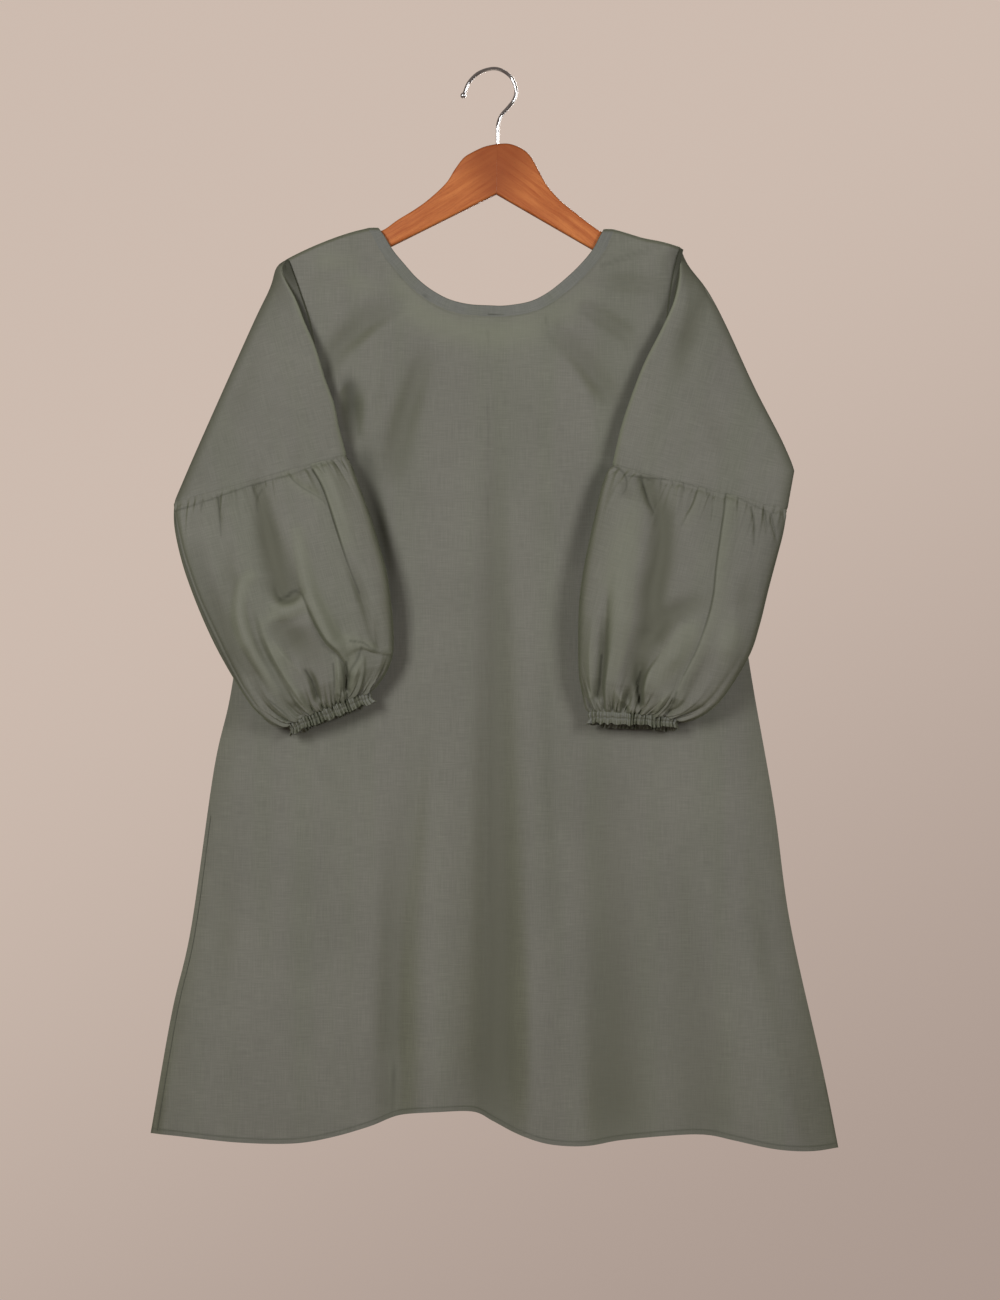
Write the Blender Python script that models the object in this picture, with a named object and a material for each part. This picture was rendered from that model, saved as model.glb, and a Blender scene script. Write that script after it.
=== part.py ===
"""Tunic top with gathered balloon sleeves, hung on a wooden hanger by its wire hook.

Metres, +Z up. The front faces -Y. Left and right are as seen from the front: left is at -X.
The origin is under the crown of the hook, where the hook bears on what holds it.
Tables are in millimetres, measured from that origin.
"""
import math

import bpy
import bmesh
import numpy as np

# Driving sizes
MM = 0.001
WALL = 1.4  # cloth wall, mm
SEAM_GAP = 0.3  # gap between pieces that meet at a seam, mm
SHEET_CLEARANCE = 2.4  # between the middles of two sheets that lie on each other, mm
BINDING_WIDTH = 11.5  # bias strip round the neck, mm
BINDING_WALL = 2.2  # the strip is folded double, mm
BINDING_LEVELLING = 20.0  # drop over which the strip turns level to cross the shoulder, mm
HANGER_THICKNESS = 13.0
HANGER_BEVEL = 2.0
WIRE_DIAMETER = 3.6
BALL_DIAMETER = 6.0
SHAFT_DEPTH = 16.0  # how far the hook goes into the wood, mm
SHOULDER_ROUNDING = 9.0  # drop over which the cloth turns over the hanger, mm
SIDE_ROUNDING = 60.0  # distance over which the pressed sides open, mm

# Counts
ELBOW_GATHERS = 32
CUFF_RUFFLES = 52
PANEL_SHOULDER_COLUMNS = 4
NECK_COLUMNS = 12

# Shoulders, from the sleeve to the neck: x, z
SHOULDER = {
    "left": [(-214, -196), (-200, -189), (-182, -181), (-164, -174), (-147, -168.5), (-131, -164.5)],
    "right": [(193, -184), (176, -179), (154, -174.5), (136, -169), (125, -166)],
}
# Armhole, from the shoulder tip to the underarm: x, z
ARMHOLE = {
    "left": [(-214, -196), (-202, -228), (-190, -265), (-186, -301), (-196, -343), (-217, -374), (-239, -395)],
    "right": [(193, -184), (185, -218), (179, -260), (178, -301), (189, -343), (212, -374), (237, -395)],
}
# Side seam, from the underarm to the hem: x, z
SIDE_SEAM = {
    "left": [(-239, -395), (-250, -470), (-272, -638), (-291, -726), (-315, -892), (-335, -980), (-357, -1105)],
    "right": [(237, -395), (248, -485), (266, -620), (291, -764), (308, -887), (342, -1040), (358, -1120)],
}
# Seam of the neck binding on the front, left to right: x, z
NECK_SEAM = [
    (-131, -164.5), (-115, -195), (-101, -215), (-87, -230), (-70, -240), (-50, -250), (-28, -255), (-5, -256.5),
    (14, -256.5), (40, -252), (60, -242.5), (79, -228), (98, -210), (113, -191), (125, -166),
]
# Hem, left to right: x, z
HEM = [
    (-357, -1105), (-320, -1107), (-266, -1112), (-207, -1113), (-168, -1107), (-129, -1096), (-95, -1084),
    (-55, -1080), (-21, -1081), (0, -1092), (25, -1104), (59, -1114), (96, -1116), (132, -1111), (177, -1106),
    (218, -1105), (251, -1111), (292, -1119), (329, -1122), (358, -1120),
]
# Half depth of the body with no folds: z, depth
BODY_DEPTH = [(-1125, 18), (-900, 15), (-600, 12.5), (-165, 10.5)]

# Folds: x and z at the top, x and z at the bottom, half width at each end, height at each end.
# A height above zero is a ridge towards the outside, and one below zero a trough.
FRONT_FOLDS = [
    (0, -400, 3, -1110, 12, 26, -1.0, -10.0),
    (-59, -480, -60, -1110, 22, 30, 1.0, 8.0),
    (42, -480, 47, -1120, 20, 26, 1.0, 7.0),
    (-106, -780, -104, -1110, 12, 18, -1.0, -6.0),
    (112, -700, 128, -1125, 24, 34, -1.0, -8.0),
    (-215, -780, -235, -1125, 40, 50, 1.0, 5.0),
    (88, -860, 90, -1125, 18, 20, 0.5, 4.0),
    (205, -800, 222, -1120, 26, 36, -0.5, -5.0),
    (255, -850, 292, -1125, 26, 36, 0.5, 5.0),
    (-92, -240, -176, -300, 9, 9, -2.5, -2.0),
    (-72, -296, -106, -420, 12, 16, -2.0, -3.0),
    (54, -262, 122, -340, 10, 12, -2.0, -3.0),
    (92, -246, 142, -276, 8, 8, -2.0, -2.0),
]
BACK_FOLDS = [
    (10, -330, -6, -1110, 18, 34, -1.0, -9.0),
    (-70, -520, -86, -1110, 26, 36, 1.0, 7.0),
    (84, -480, 96, -1120, 24, 34, 1.0, 8.0),
    (-150, -650, -168, -1110, 22, 30, -1.0, -7.0),
    (168, -620, 184, -1120, 24, 32, -1.0, -7.0),
    (-230, -780, -250, -1120, 32, 42, 0.5, 5.0),
    (250, -760, 275, -1125, 32, 42, 0.5, 5.0),
    (-120, -235, -70, -330, 14, 18, -2.0, -2.0),
    (120, -235, 60, -340, 14, 18, -2.0, -2.0),
]

# Upper sleeve, flattened: its outer edge and its inner fold, from the shoulder to the elbow: x, y, z
UPPER_OUTER = {
    "left": [(-214, 0, -196), (-223, -4, -208), (-231, -7, -229), (-251, -11, -268), (-304, -20, -389), (-330, -30, -452)],
    "right": [(193, 0, -184), (202, -4, -204), (222, -8, -231), (241, -11, -268), (270, -15, -332), (301, -20, -394),
              (311, -26, -428), (302, -30, -459)],
}
UPPER_INNER = {
    "left": [(-214, 0, -196), (-217, -14, -218), (-206, -20, -239), (-196, -23, -264), (-185, -25, -289), (-175, -27, -321),
             (-165, -28, -349), (-159, -29, -378), (-152, -30, -403)],
    "right": [(193, 0, -184), (193, -14, -207), (191, -20, -224), (185, -23, -246), (173, -25, -272), (153, -27, -312),
              (135, -28, -361), (127, -29, -390), (122, -30, -413)],
}
# Rows of the upper sleeve down to the underarm: fraction of the way down its edges
UPPER_ROWS = [0.05, 0.11, 0.19, 0.29, 0.40, 0.51, 0.62, 0.72, 0.80, 0.86]
UPPER_FRONT_SPANS = 12
UPPER_UNDER_SPANS = 5
UPPER_BACK_SPANS = UPPER_FRONT_SPANS - UPPER_UNDER_SPANS
# Fullness of the upper sleeve towards the front: fraction of the way down, fullness
UPPER_FULLNESS = [(0.0, 0), (0.25, 4), (0.6, 9), (1.0, 15)]
SEAM_TURN = 4.0  # how far the sleeve stands off at its seam before it turns down, mm
BACK_PUFF = 8.0  # how far the sleeve stands out behind the armhole, mm
ELBOW_SECTION = (-30, 15, 10)  # y of its middle, fullness to the front, fullness to the back
# Rows below the underarm: fraction of the way from the underarm to the elbow
ELBOW_ROWS = [0.08, 0.5, 1.0]
UNDERARM_CORNER = (1.9, -0.4, -1.2)  # from the panels' corner: outwards, y, z
UNDERARM_STEP = (0.8, -4.8, -1.5)  # first step of the underarm seam: outwards, y, z

# Lower sleeve, flattened: its outer and inner edges, from the elbow to the cuff: x, z
LOWER_OUTER = {
    "left": [(-330, -453), (-329, -475), (-324, -500), (-315, -530), (-298, -573), (-279, -612), (-255, -652), (-238, -671),
             (-222, -680), (-212, -678)],
    "right": [(302, -460), (298, -482), (291, -508), (282, -541), (273, -577), (262, -609), (238, -648), (218, -666),
              (198, -673), (189, -671)],
}
LOWER_INNER = {
    "left": [(-152, -404), (-143, -424), (-130, -458), (-120, -489), (-111, -521), (-106, -555), (-104, -583),
             (-105, -606), (-111, -623), (-121, -638), (-129, -645)],
    "right": [(122, -414), (116, -423), (110, -441), (101, -479), (93, -517), (88, -554), (87, -591), (88, -627),
              (94, -652), (99, -665)],
}
# Lower sleeve's section: fraction of the way down, y of its middle, fullness to the front, fullness to the back
LOWER_SECTION = [
    (0.0, *ELBOW_SECTION), (0.12, -34, 21, 14), (0.35, -38, 26, 18), (0.6, -40, 27, 20), (0.85, -37, 20, 15), (1.0, -33, 9, 9),
]
# Rows of the lower sleeve: fraction of the way down, height of the gathers
LOWER_ROWS = [
    (0.0, 1.5), (0.05, 1.3), (0.14, 0.7), (0.28, 0.2), (0.45, 0.0), (0.62, 0.1), (0.78, 0.5), (0.9, 1.3), (1.0, 1.5),
]
LOWER_FOLDS = {
    "left": [
        (-190, -414, -138, -555, 9, 14, 3.0, 2.0),
        (-214, -460, -224, -560, 12, 18, -2.0, -6.0),
        (-262, -500, -215, -640, 10, 12, 3.0, 6.0),
        (-240, -520, -205, -650, 9, 12, -2.0, -6.0),
        (-196, -550, -160, -605, 8, 10, 5.0, 4.0),
        (-160, -560, -150, -650, 9, 8, -3.0, -6.0),
        (-290, -460, -283, -520, 8, 10, 2.0, 2.0),
    ],
    "right": [
        (240, -437, 188, -640, 8, 12, 3.0, 4.0),
        (170, -465, 136, -640, 14, 16, -2.0, -6.0),
        (118, -540, 108, -655, 8, 8, -2.0, -5.0),
        (152, -630, 152, -672, 6, 6, -3.0, -6.0),
        (216, -555, 172, -580, 8, 9, 3.0, 2.0),
        (215, -435, 192, -478, 7, 8, 2.0, 1.5),
        (262, -480, 240, -600, 12, 14, -1.5, -3.0),
    ],
}
# Cuff: width of the band with its ruffle, the fraction at each row with its spread and its ruffle height
CUFF_LENGTH = 14.0
CUFF_TILT = 7.0  # the far rim lies lower, mm
CUFF_ROWS = [(0.0, 0.0, 0.8), (0.55, -0.6, 0.8), (1.0, 1.6, 1.6)]

# Hanger half: top edge from the middle to the tip, then the lower edge back to the middle: x, z
HANGER = {
    "left": [
        (-10, -80), (-23, -86), (-32, -92), (-41, -104), (-50, -118), (-67, -134), (-82, -145), (-100, -156),
        (-116, -167), (-131, -168.6), (-147, -172), (-164, -177.5), (-178, -183.5), (-188, -190), (-187, -199), (-178, -203),
        (-150, -198), (-124, -191), (-106, -183),
    ],
    "right": [
        (16, -77), (29, -82), (38, -90), (46, -104), (55, -120), (69, -136), (85, -149), (99, -160),
        (112, -168.5), (125, -170), (136, -172.8), (154, -178), (168, -181.5), (177, -187), (177, -197), (168, -202),
        (142, -200), (118, -194), (103, -187),
    ],
}
HANGER_TOP = (3.3, -77)
HANGER_APEX = (2.5, -129)
# Hook: middle line of the wire from its tip to the wood: x, z
HOOK = [
    (-31, -24), (-26, -12.5), (-15.5, -2.5), (-1, 1.8), (10, -1), (19, -9), (23, -21.5), (20.5, -31), (14, -39.5),
    (7.5, -47), (4.2, -56), (3.9, -66), (3.9, -77),
]


def lerp_table(value, table, column=1):
    """A column of a short table, read between its rows."""
    rows = sorted(table)
    return np.interp(value, [row[0] for row in rows], [row[column] for row in rows])


def smooth_curve(points, steps=10):
    """Dense points of a smooth curve through the given ones."""
    pts = np.array(points, dtype=float)
    ends = np.vstack([2 * pts[0] - pts[1], pts, 2 * pts[-1] - pts[-2]])
    dense = []
    for a, b, c, d in zip(ends[:-3], ends[1:-2], ends[2:-1], ends[3:]):
        for t in np.linspace(0, 1, steps, endpoint=False):
            dense.append(0.5 * (2 * b + (c - a) * t + (2 * a - 5 * b + 4 * c - d) * t**2 + (3 * b - a - 3 * c + d) * t**3))
    dense.append(pts[-1])
    return np.array(dense)


def along(path, fraction):
    """Points at the given fractions of a dense path's length."""
    steps = np.linalg.norm(np.diff(path, axis=0), axis=1)
    reach = np.concatenate([[0], np.cumsum(steps)])
    where = np.clip(fraction, 0, 1) * reach[-1]
    return np.stack([np.interp(where, reach, path[:, k]) for k in range(path.shape[1])], axis=-1)


def ease(t):
    t = np.clip(t, 0, 1)
    return t * t * (3 - 2 * t)


def quarter_round(t):
    t = np.clip(t, 0, 1)
    return np.sqrt(1 - (1 - t) ** 2)


def unit(vectors):
    return vectors / np.maximum(np.linalg.norm(vectors, axis=-1, keepdims=True), 1e-9)


def fold_relief(x, z, folds):
    """Height of all the folds of a table at the points x, z."""
    relief = np.zeros(np.broadcast(x, z).shape)
    for x_top, z_top, x_end, z_end, width_top, width_end, height_top, height_end in folds:
        run_x, run_z = x_end - x_top, z_end - z_top
        length = math.hypot(run_x, run_z)
        t = ((x - x_top) * run_x + (z - z_top) * run_z) / length**2
        off = ((x - x_top) * run_z - (z - z_top) * run_x) / length
        ends = ease((t + 0.15) / 0.3) * ease((1.15 - t) / 0.3)
        t = np.clip(t, 0, 1)
        width = width_top + (width_end - width_top) * t
        height = height_top + (height_end - height_top) * t
        relief = relief + height * ends * np.exp(-((off / width) ** 2))
    return relief


# Body outline
SIDE_PATH = {side: np.vstack([smooth_curve(ARMHOLE[side])[:-1], smooth_curve(SIDE_SEAM[side])]) for side in ARMHOLE}
SHOULDER_PATH = {side: smooth_curve(SHOULDER[side]) for side in SHOULDER}
NECK_PATH = smooth_curve(NECK_SEAM)
HEM_PATH = smooth_curve(HEM)
SHOULDER_LINE = np.vstack([SHOULDER_PATH["left"], SHOULDER_PATH["right"][::-1]])
UNDERARM_Z = -395
ARMHOLE_SHARE = 0.23  # of the length of a panel's side
ARMHOLE_DEPTH = 8.5  # half depth of the body at the armholes
SIDE_DEPTH = WALL / 2 + SEAM_GAP / 2


def side_x(side, z):
    path = SIDE_PATH[side]
    return np.interp(-np.asarray(z, dtype=float), -path[:, 1], path[:, 0])


def edge_distance(x, z):
    """How far the points lie inside the nearer side of the body."""
    return np.minimum(x - side_x("left", z), side_x("right", z) - x)


def body_depth(x, z, folds):
    """Half depth of the body's cloth, from its middle plane."""
    distance = np.maximum(edge_distance(x, z), 0)
    at_armhole = ease((z - UNDERARM_Z) / 60)
    seam = SIDE_DEPTH + (ARMHOLE_DEPTH - SIDE_DEPTH) * at_armhole
    rounding = SIDE_ROUNDING - (SIDE_ROUNDING - 30) * at_armhole
    full = lerp_table(z, BODY_DEPTH)
    opened = 1 - (1 - np.clip(distance / rounding, 0, 1)) ** 2
    depth = seam + (full - seam) * opened + fold_relief(x, z, folds) * ease(distance / 45)
    drop = np.interp(x, SHOULDER_LINE[:, 0], SHOULDER_LINE[:, 1]) - z
    return SEAM_GAP / 2 + (depth - SEAM_GAP / 2) * quarter_round(drop / SHOULDER_ROUNDING)


def body_point(x, z, facing, folds):
    """Middle of the cloth of a body panel; facing is -1 at the front and 1 at the back."""
    return np.stack([x, facing * body_depth(x, z, folds), z], axis=-1)


def body_normal(x, z, facing, folds):
    """Outward direction of a body panel, level with the seams at its pressed edges."""
    step = 0.5
    slope_x = (body_depth(x + step, z, folds) - body_depth(x - step, z, folds)) / (2 * step)
    slope_z = (body_depth(x, z + step, folds) - body_depth(x, z - step, folds)) / (2 * step)
    at_side = (edge_distance(x, z) < 1.0) & (z < UNDERARM_Z + 2)
    slope_x = np.where(at_side, 0, slope_x)
    slope_z = np.where(at_side, 0, slope_z)
    normal = unit(np.stack([-slope_x, np.full(np.shape(x), float(facing)), -slope_z], axis=-1))
    drop = np.interp(x, SHOULDER_LINE[:, 0], SHOULDER_LINE[:, 1]) - z
    normal[drop < 0.3] = (0.0, 0.0, 1.0)
    return normal


def new_object(name, vertices, faces, material):
    """A mesh object in metres from vertices in millimetres."""
    mesh = bpy.data.meshes.new(name)
    mesh.from_pydata([tuple(float(c) * MM for c in v) for v in vertices], [], faces)
    work = bmesh.new()
    work.from_mesh(mesh)
    bmesh.ops.recalc_face_normals(work, faces=work.faces[:])
    work.to_mesh(mesh)
    work.free()
    mesh.materials.append(material)
    mesh.shade_smooth()
    mesh.set_sharp_from_angle(angle=math.radians(50))
    obj = bpy.data.objects.new(name, mesh)
    bpy.context.collection.objects.link(obj)
    return obj


def cloth_solid(name, middle, faces, normals, wall, material):
    """A closed wall of even thickness about a sheet, given by the middle points of the cloth and its faces."""
    count = len(middle)
    vertices = np.vstack([middle + normals * wall / 2, middle - normals * wall / 2])
    solid = list(faces) + [tuple(count + k for k in reversed(face)) for face in faces]
    edges = {}
    for face in faces:
        for a, b in zip(face, face[1:] + face[:1]):
            edges[(a, b)] = edges.get((b, a)) is None
            if not edges[(a, b)]:
                edges[(b, a)] = False
    for (a, b), is_rim in edges.items():
        if is_rim:
            solid.append((b, a, count + a, count + b))
    return new_object(name, vertices, solid, material)


def grid_faces(rows, columns, closed_round):
    """Faces between the points of a grid, rows by columns, closed round into a tube or left as a panel."""
    faces = []
    for r in range(rows - 1):
        for c in range(columns if closed_round else columns - 1):
            a, b = r * columns + c, r * columns + (c + 1) % columns
            faces.append((a, b, b + columns, a + columns))
    return faces


def cloth_wall(name, middle, normals, wall, closed_round, material):
    """A wall on a grid of points."""
    rows, columns = middle.shape[:2]
    faces = grid_faces(rows, columns, closed_round)
    return cloth_solid(name, middle.reshape(-1, 3), faces, normals.reshape(-1, 3), wall, material)


# Rows of a panel: fractions of the armhole, closer where the cloth turns over the shoulder, then of the side seam
ARMHOLE_ROWS = [0, 0.005, 0.017, 0.043, 0.11, 0.23, 0.37, 0.5, 0.63, 0.75, 0.87, 1]
FRONT_SIDE_ROWS = [0.07, 0.16, 0.26, 0.36, 0.46, 0.56, 0.66, 0.76, 0.85, 0.93, 1]
BACK_SIDE_ROWS = [0.1, 0.25, 0.4, 0.55, 0.7, 0.85, 1]
# Fractions of the neck seam at its shoulder ends, where the cloth turns over the hanger
NECK_END_COLUMNS = [0, 0.003, 0.009, 0.024, 0.06]


def neck_shares():
    ends = np.array(NECK_END_COLUMNS)
    return np.concatenate([ends, np.linspace(0.11, 0.89, NECK_COLUMNS), 1 - ends[::-1]])


def side_points(side, side_rows):
    """Points of a panel's side at its rows: down the armhole, then down the side seam."""
    armhole = along(smooth_curve(ARMHOLE[side]), np.array(ARMHOLE_ROWS))
    return np.vstack([armhole, along(smooth_curve(SIDE_SEAM[side]), np.array(side_rows))])


def panel_outline():
    """Top edge of a panel with the fraction of its width at each point."""
    shoulder = np.linspace(0, 1, PANEL_SHOULDER_COLUMNS + 1)
    neck = neck_shares()
    top = np.vstack([
        along(SHOULDER_PATH["left"], shoulder)[:-1],
        along(NECK_PATH, neck),
        along(SHOULDER_PATH["right"], 1 - shoulder)[1:],
    ])
    share = np.concatenate([0.2 * shoulder[:-1] ** 1.2, 0.2 + 0.63 * neck, 0.83 + 0.17 * (1 - (1 - shoulder) ** 1.2)[1:]])
    return top, share


def panel_grid(side_rows):
    """Points of a panel in the plane, between its top, its sides and its hem."""
    top, u = panel_outline()
    hem = along(HEM_PATH, u)
    left = side_points("left", side_rows)
    right = side_points("right", side_rows)
    v = np.concatenate([np.array(ARMHOLE_ROWS) * ARMHOLE_SHARE, ARMHOLE_SHARE + np.array(side_rows) * (1 - ARMHOLE_SHARE)])
    u, v = u[None, :, None], v[:, None, None]
    ruled_down = (1 - v) * top[None] + v * hem[None]
    ruled_across = (1 - u) * left[:, None] + u * right[:, None]
    corners = (1 - v) * ((1 - u) * top[0] + u * top[-1]) + v * ((1 - u) * hem[0] + u * hem[-1])
    return ruled_down + ruled_across - corners


def make_panel(name, facing, folds, side_rows, material):
    grid = panel_grid(side_rows)
    x, z = grid[..., 0], grid[..., 1]
    return cloth_wall(name, body_point(x, z, facing, folds), body_normal(x, z, facing, folds), WALL, False, material)


def make_binding(name, facing, folds, material):
    """Bias strip along the neck, level with the panel and a little thicker."""
    seam = along(NECK_PATH, neck_shares())
    tangent = unit(np.gradient(seam, axis=0))
    drop = np.interp(seam[:, 0], SHOULDER_LINE[:, 0], SHOULDER_LINE[:, 1]) - seam[:, 1]
    inward = unit(np.stack([-tangent[:, 1], tangent[:, 0] * ease(drop / BINDING_LEVELLING)], axis=-1))
    rows = []
    for reach in (SEAM_GAP, BINDING_WIDTH * 0.5, BINDING_WIDTH):
        rows.append(seam + inward * reach)
    grid = np.array(rows)
    x, z = grid[..., 0], grid[..., 1]
    middle = body_point(x, z, facing, folds)
    normals = body_normal(x, z, facing, folds)
    return cloth_wall(name, middle, normals, BINDING_WALL, False, material)


def clear_of_front(points, margin=6.0):
    """Keeps points of a sleeve in front of the front panel, and as far as the margin beyond its edge."""
    x, y, z = points[..., 0], points[..., 1], points[..., 2]
    inside = edge_distance(x, z)
    limit = -body_depth(x, z, FRONT_FOLDS) - SHEET_CLEARANCE
    limit = limit + 40 * ease((-inside - margin) / 12)
    points[..., 1] = np.minimum(y, limit)
    return points


def upper_sleeve_sheet(side):
    """Points, faces and outward directions of the upper sleeve.

    Each row starts at the outer edge, crosses the front to the inner fold and runs under it to the armhole
    seam of the front. It goes on at the armhole seam of the back and comes round behind to the outer edge.
    Below the underarm the two seams have met, and the rows are closed rings.
    """
    sign = 1 if side == "left" else -1
    armhole = along(smooth_curve(ARMHOLE[side]), np.array(ARMHOLE_ROWS))
    tangent = np.gradient(armhole, axis=0)
    away = unit(np.stack([tangent[:, 1], np.zeros(len(tangent)), -tangent[:, 0]], axis=-1)) * sign
    outer, inner = smooth_curve(UPPER_OUTER[side]), smooth_curve(UPPER_INNER[side])
    seams = {
        facing: body_point(armhole[:, 0], armhole[:, 1], facing, folds)
        for facing, folds in ((-1, FRONT_FOLDS), (1, BACK_FOLDS))
    }

    def seam_point(fraction, facing, reach):
        """A point of the sewn edge, moved away from the panel by reach."""
        place = [np.interp(fraction, ARMHOLE_ROWS, seams[facing][:, k]) for k in range(3)]
        turn = [np.interp(fraction, ARMHOLE_ROWS, away[:, k]) for k in range(3)]
        return np.array(place) + unit(np.array(turn)) * reach

    edge_gap = 3 * SEAM_GAP
    outwards = np.array([-sign, 1, 1])
    corner = (seam_point(1, -1, 0) + seam_point(1, 1, 0)) / 2 + outwards * UNDERARM_CORNER
    rows = []
    for w in UPPER_ROWS:
        down = w / UPPER_ROWS[-1]
        o, f = along(outer, w), along(inner, w)
        angle = math.pi * np.arange(UPPER_FRONT_SPANS + 1) / UPPER_FRONT_SPANS
        front = o + (f - o) * ((1 - np.cos(angle)) / 2)[:, None]
        front[:, 1] -= lerp_table(w, UPPER_FULLNESS) * np.sin(angle)
        # Under the fold
        sewn = corner if down == 1 else seam_point(down, -1, edge_gap)
        turned = seam_point(down, -1, SEAM_TURN) - np.array([0, SEAM_TURN, 0])
        t = np.linspace(0, 1, UPPER_UNDER_SPANS)[1:, None]
        under = f + (turned - f) * t
        under[:, 1] = turned[1] + (f[1] - turned[1]) * (1 - t[:, 0]) ** 2.5
        under = clear_of_front(under)
        # Behind the armhole
        sewn_back = corner if down == 1 else seam_point(down, 1, edge_gap)
        stand = seam_point(down, 1, SEAM_TURN + BACK_PUFF * math.sin(math.pi * down))
        back = along(smooth_curve([sewn_back, stand + (o - stand) * 0.12, o]), np.linspace(0, 1, UPPER_BACK_SPANS + 1))
        rows.append((np.vstack([front, under, [sewn]]), back[:-1]))
    elbow = oval_points(
        outer[-1][[0, 2]], inner[-1][[0, 2]], *ELBOW_SECTION,
        math.pi * np.arange(2 * UPPER_FRONT_SPANS) / UPPER_FRONT_SPANS,
    )
    underarm_front, underarm_back = rows[-1]
    split = len(underarm_front)
    for t in ELBOW_ROWS:
        front = underarm_front + (elbow[:split] - underarm_front) * t
        back = underarm_back + (elbow[split - 1 :] - underarm_back) * t
        front[UPPER_FRONT_SPANS + 1 :] = clear_of_front(front[UPPER_FRONT_SPANS + 1 :])
        if t == ELBOW_ROWS[0]:
            front[-1] = corner + outwards * UNDERARM_STEP
        rows.append((front, clear_of_front(back)))

    points = [outer[0] + away[0] * edge_gap]
    chains = []
    for k, (front, back) in enumerate(rows):
        front_ids = list(range(len(points), len(points) + len(front)))
        points += list(front)
        closed = k >= len(UPPER_ROWS) - 1
        back = back[1:] if closed else back
        back_ids = list(range(len(points), len(points) + len(back)))
        points += list(back)
        chains.append((front_ids, ([front_ids[-1]] if closed else []) + back_ids + [front_ids[0]]))
    faces = []
    for chain in chains[0]:
        faces += [(0, b, a) for a, b in zip(chain, chain[1:])]
    for above, below in zip(chains, chains[1:]):
        for upper, lower in zip(above, below):
            faces += [(a, b, d, c) for a, b, c, d in zip(upper, upper[1:], lower, lower[1:])]
    if side == "left":
        faces = [tuple(reversed(face)) for face in faces]
    points = np.array(points)
    normals = sheet_directions(points, faces)
    last = chains[-1][0] + chains[-1][1][1:-1]
    normals[last] = oval_directions(points[last])
    # At the seams the sleeve lies level with the panels
    for (front_ids, back_ids), w in zip(chains, UPPER_ROWS[:-1]):
        x, z = along(smooth_curve(ARMHOLE[side]), w / UPPER_ROWS[-1])
        normals[front_ids[-1]] = body_normal(np.array([x]), np.array([z]), -1, FRONT_FOLDS)[0]
        normals[back_ids[0]] = body_normal(np.array([x]), np.array([z]), 1, BACK_FOLDS)[0]
    normals[0] = (0.0, 0.0, 1.0)
    return points, faces, normals


def sheet_directions(points, faces):
    """Outward directions of a sheet at its points, from its faces; the front of the garment is outside."""
    normals = np.zeros_like(points)
    for face in faces:
        a, b, c = points[face[0]], points[face[1]], points[face[-1]]
        across = np.cross(points[face[2]] - a, c - b) if len(face) == 4 else np.cross(b - a, c - a)
        for k in face:
            normals[k] += across
    return unit(normals)


def ring_directions(grid):
    """Outward directions of a tube given as rings."""
    round_way = np.roll(grid, -1, axis=1) - np.roll(grid, 1, axis=1)
    down_way = np.gradient(grid, axis=0)
    normals = unit(np.cross(round_way, down_way))
    middle = grid.mean(axis=1, keepdims=True)
    if np.sum((grid - middle) * normals) < 0:
        normals = -normals
    return normals


def make_upper_sleeve(name, side, material):
    points, faces, normals = upper_sleeve_sheet(side)
    return cloth_solid(name, points, faces, normals, WALL, material)


def oval_directions(ring):
    """Outward directions of a ring that stay in its own plane."""
    tangent = unit(np.roll(ring, -1, axis=0) - np.roll(ring, 1, axis=0))
    middle = ring.mean(axis=0)
    across = ring[np.argmax(ring[:, 0])] - ring[np.argmin(ring[:, 0])]
    axis = unit(np.cross(across, np.array([0.0, 1.0, 0.0])))
    normals = unit(np.cross(tangent, axis))
    if np.sum((ring - middle) * normals) < 0:
        normals = -normals
    return normals


def oval_points(start, end, middle_y, front, back, angle):
    """Points of a flattened oval between start and end; the angle runs from start across the front."""
    flat = start + (end - start) * ((1 - np.cos(angle)) / 2)[:, None]
    lift = np.sin(angle)
    depth = np.where(lift > 0, -front, back) * np.abs(lift) ** 0.9
    return np.stack([flat[:, 0], middle_y + depth, flat[:, 1]], axis=-1)


def oval_ring(start, end, middle_y, front, back, columns):
    """Evenly spaced points round such an oval, beginning at start and crossing the front."""
    dense = oval_points(start, end, middle_y, front, back, np.linspace(0, 2 * math.pi, 361))
    return along(dense, np.arange(columns) / columns)


def lower_sleeve_grid(side):
    """Rings of the balloon sleeve from the elbow seam to the cuff, with the gathers and folds."""
    columns = 2 * ELBOW_GATHERS
    outer, inner = smooth_curve(LOWER_OUTER[side]), smooth_curve(LOWER_INNER[side])
    smooth_rings = []
    for v, _ in LOWER_ROWS:
        ring = oval_ring(
            along(outer, v), along(inner, v), lerp_table(v, LOWER_SECTION, 1), lerp_table(v, LOWER_SECTION, 2),
            lerp_table(v, LOWER_SECTION, 3), columns,
        )
        ring[:, 2] -= CUFF_TILT * ease((v - 0.7) / 0.3) * (ring[:, 1] - ring[:, 1].min()) / np.ptp(ring[:, 1])
        smooth_rings.append(ring)
    grid = np.array(smooth_rings)
    normals = ring_directions(grid)
    normals[0], normals[-1] = oval_directions(grid[0]), oval_directions(grid[-1])
    relief = fold_relief(grid[..., 0], grid[..., 2], LOWER_FOLDS[side])
    row_share = np.array([v for v, _ in LOWER_ROWS])
    away_from_ends = ease(row_share / 0.15) * ease((1 - row_share) / 0.12)
    facing_out = np.abs(normals[..., 1]) ** 2
    wave = np.where(np.arange(columns) % 2 == 0, 1.0, -1.0)
    gathers = np.array([height for _, height in LOWER_ROWS])[:, None] * wave[None]
    grid = grid + normals * (relief * facing_out * away_from_ends[:, None] + gathers)[..., None]
    grid = clear_of_front(grid)
    return grid, normals


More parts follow.
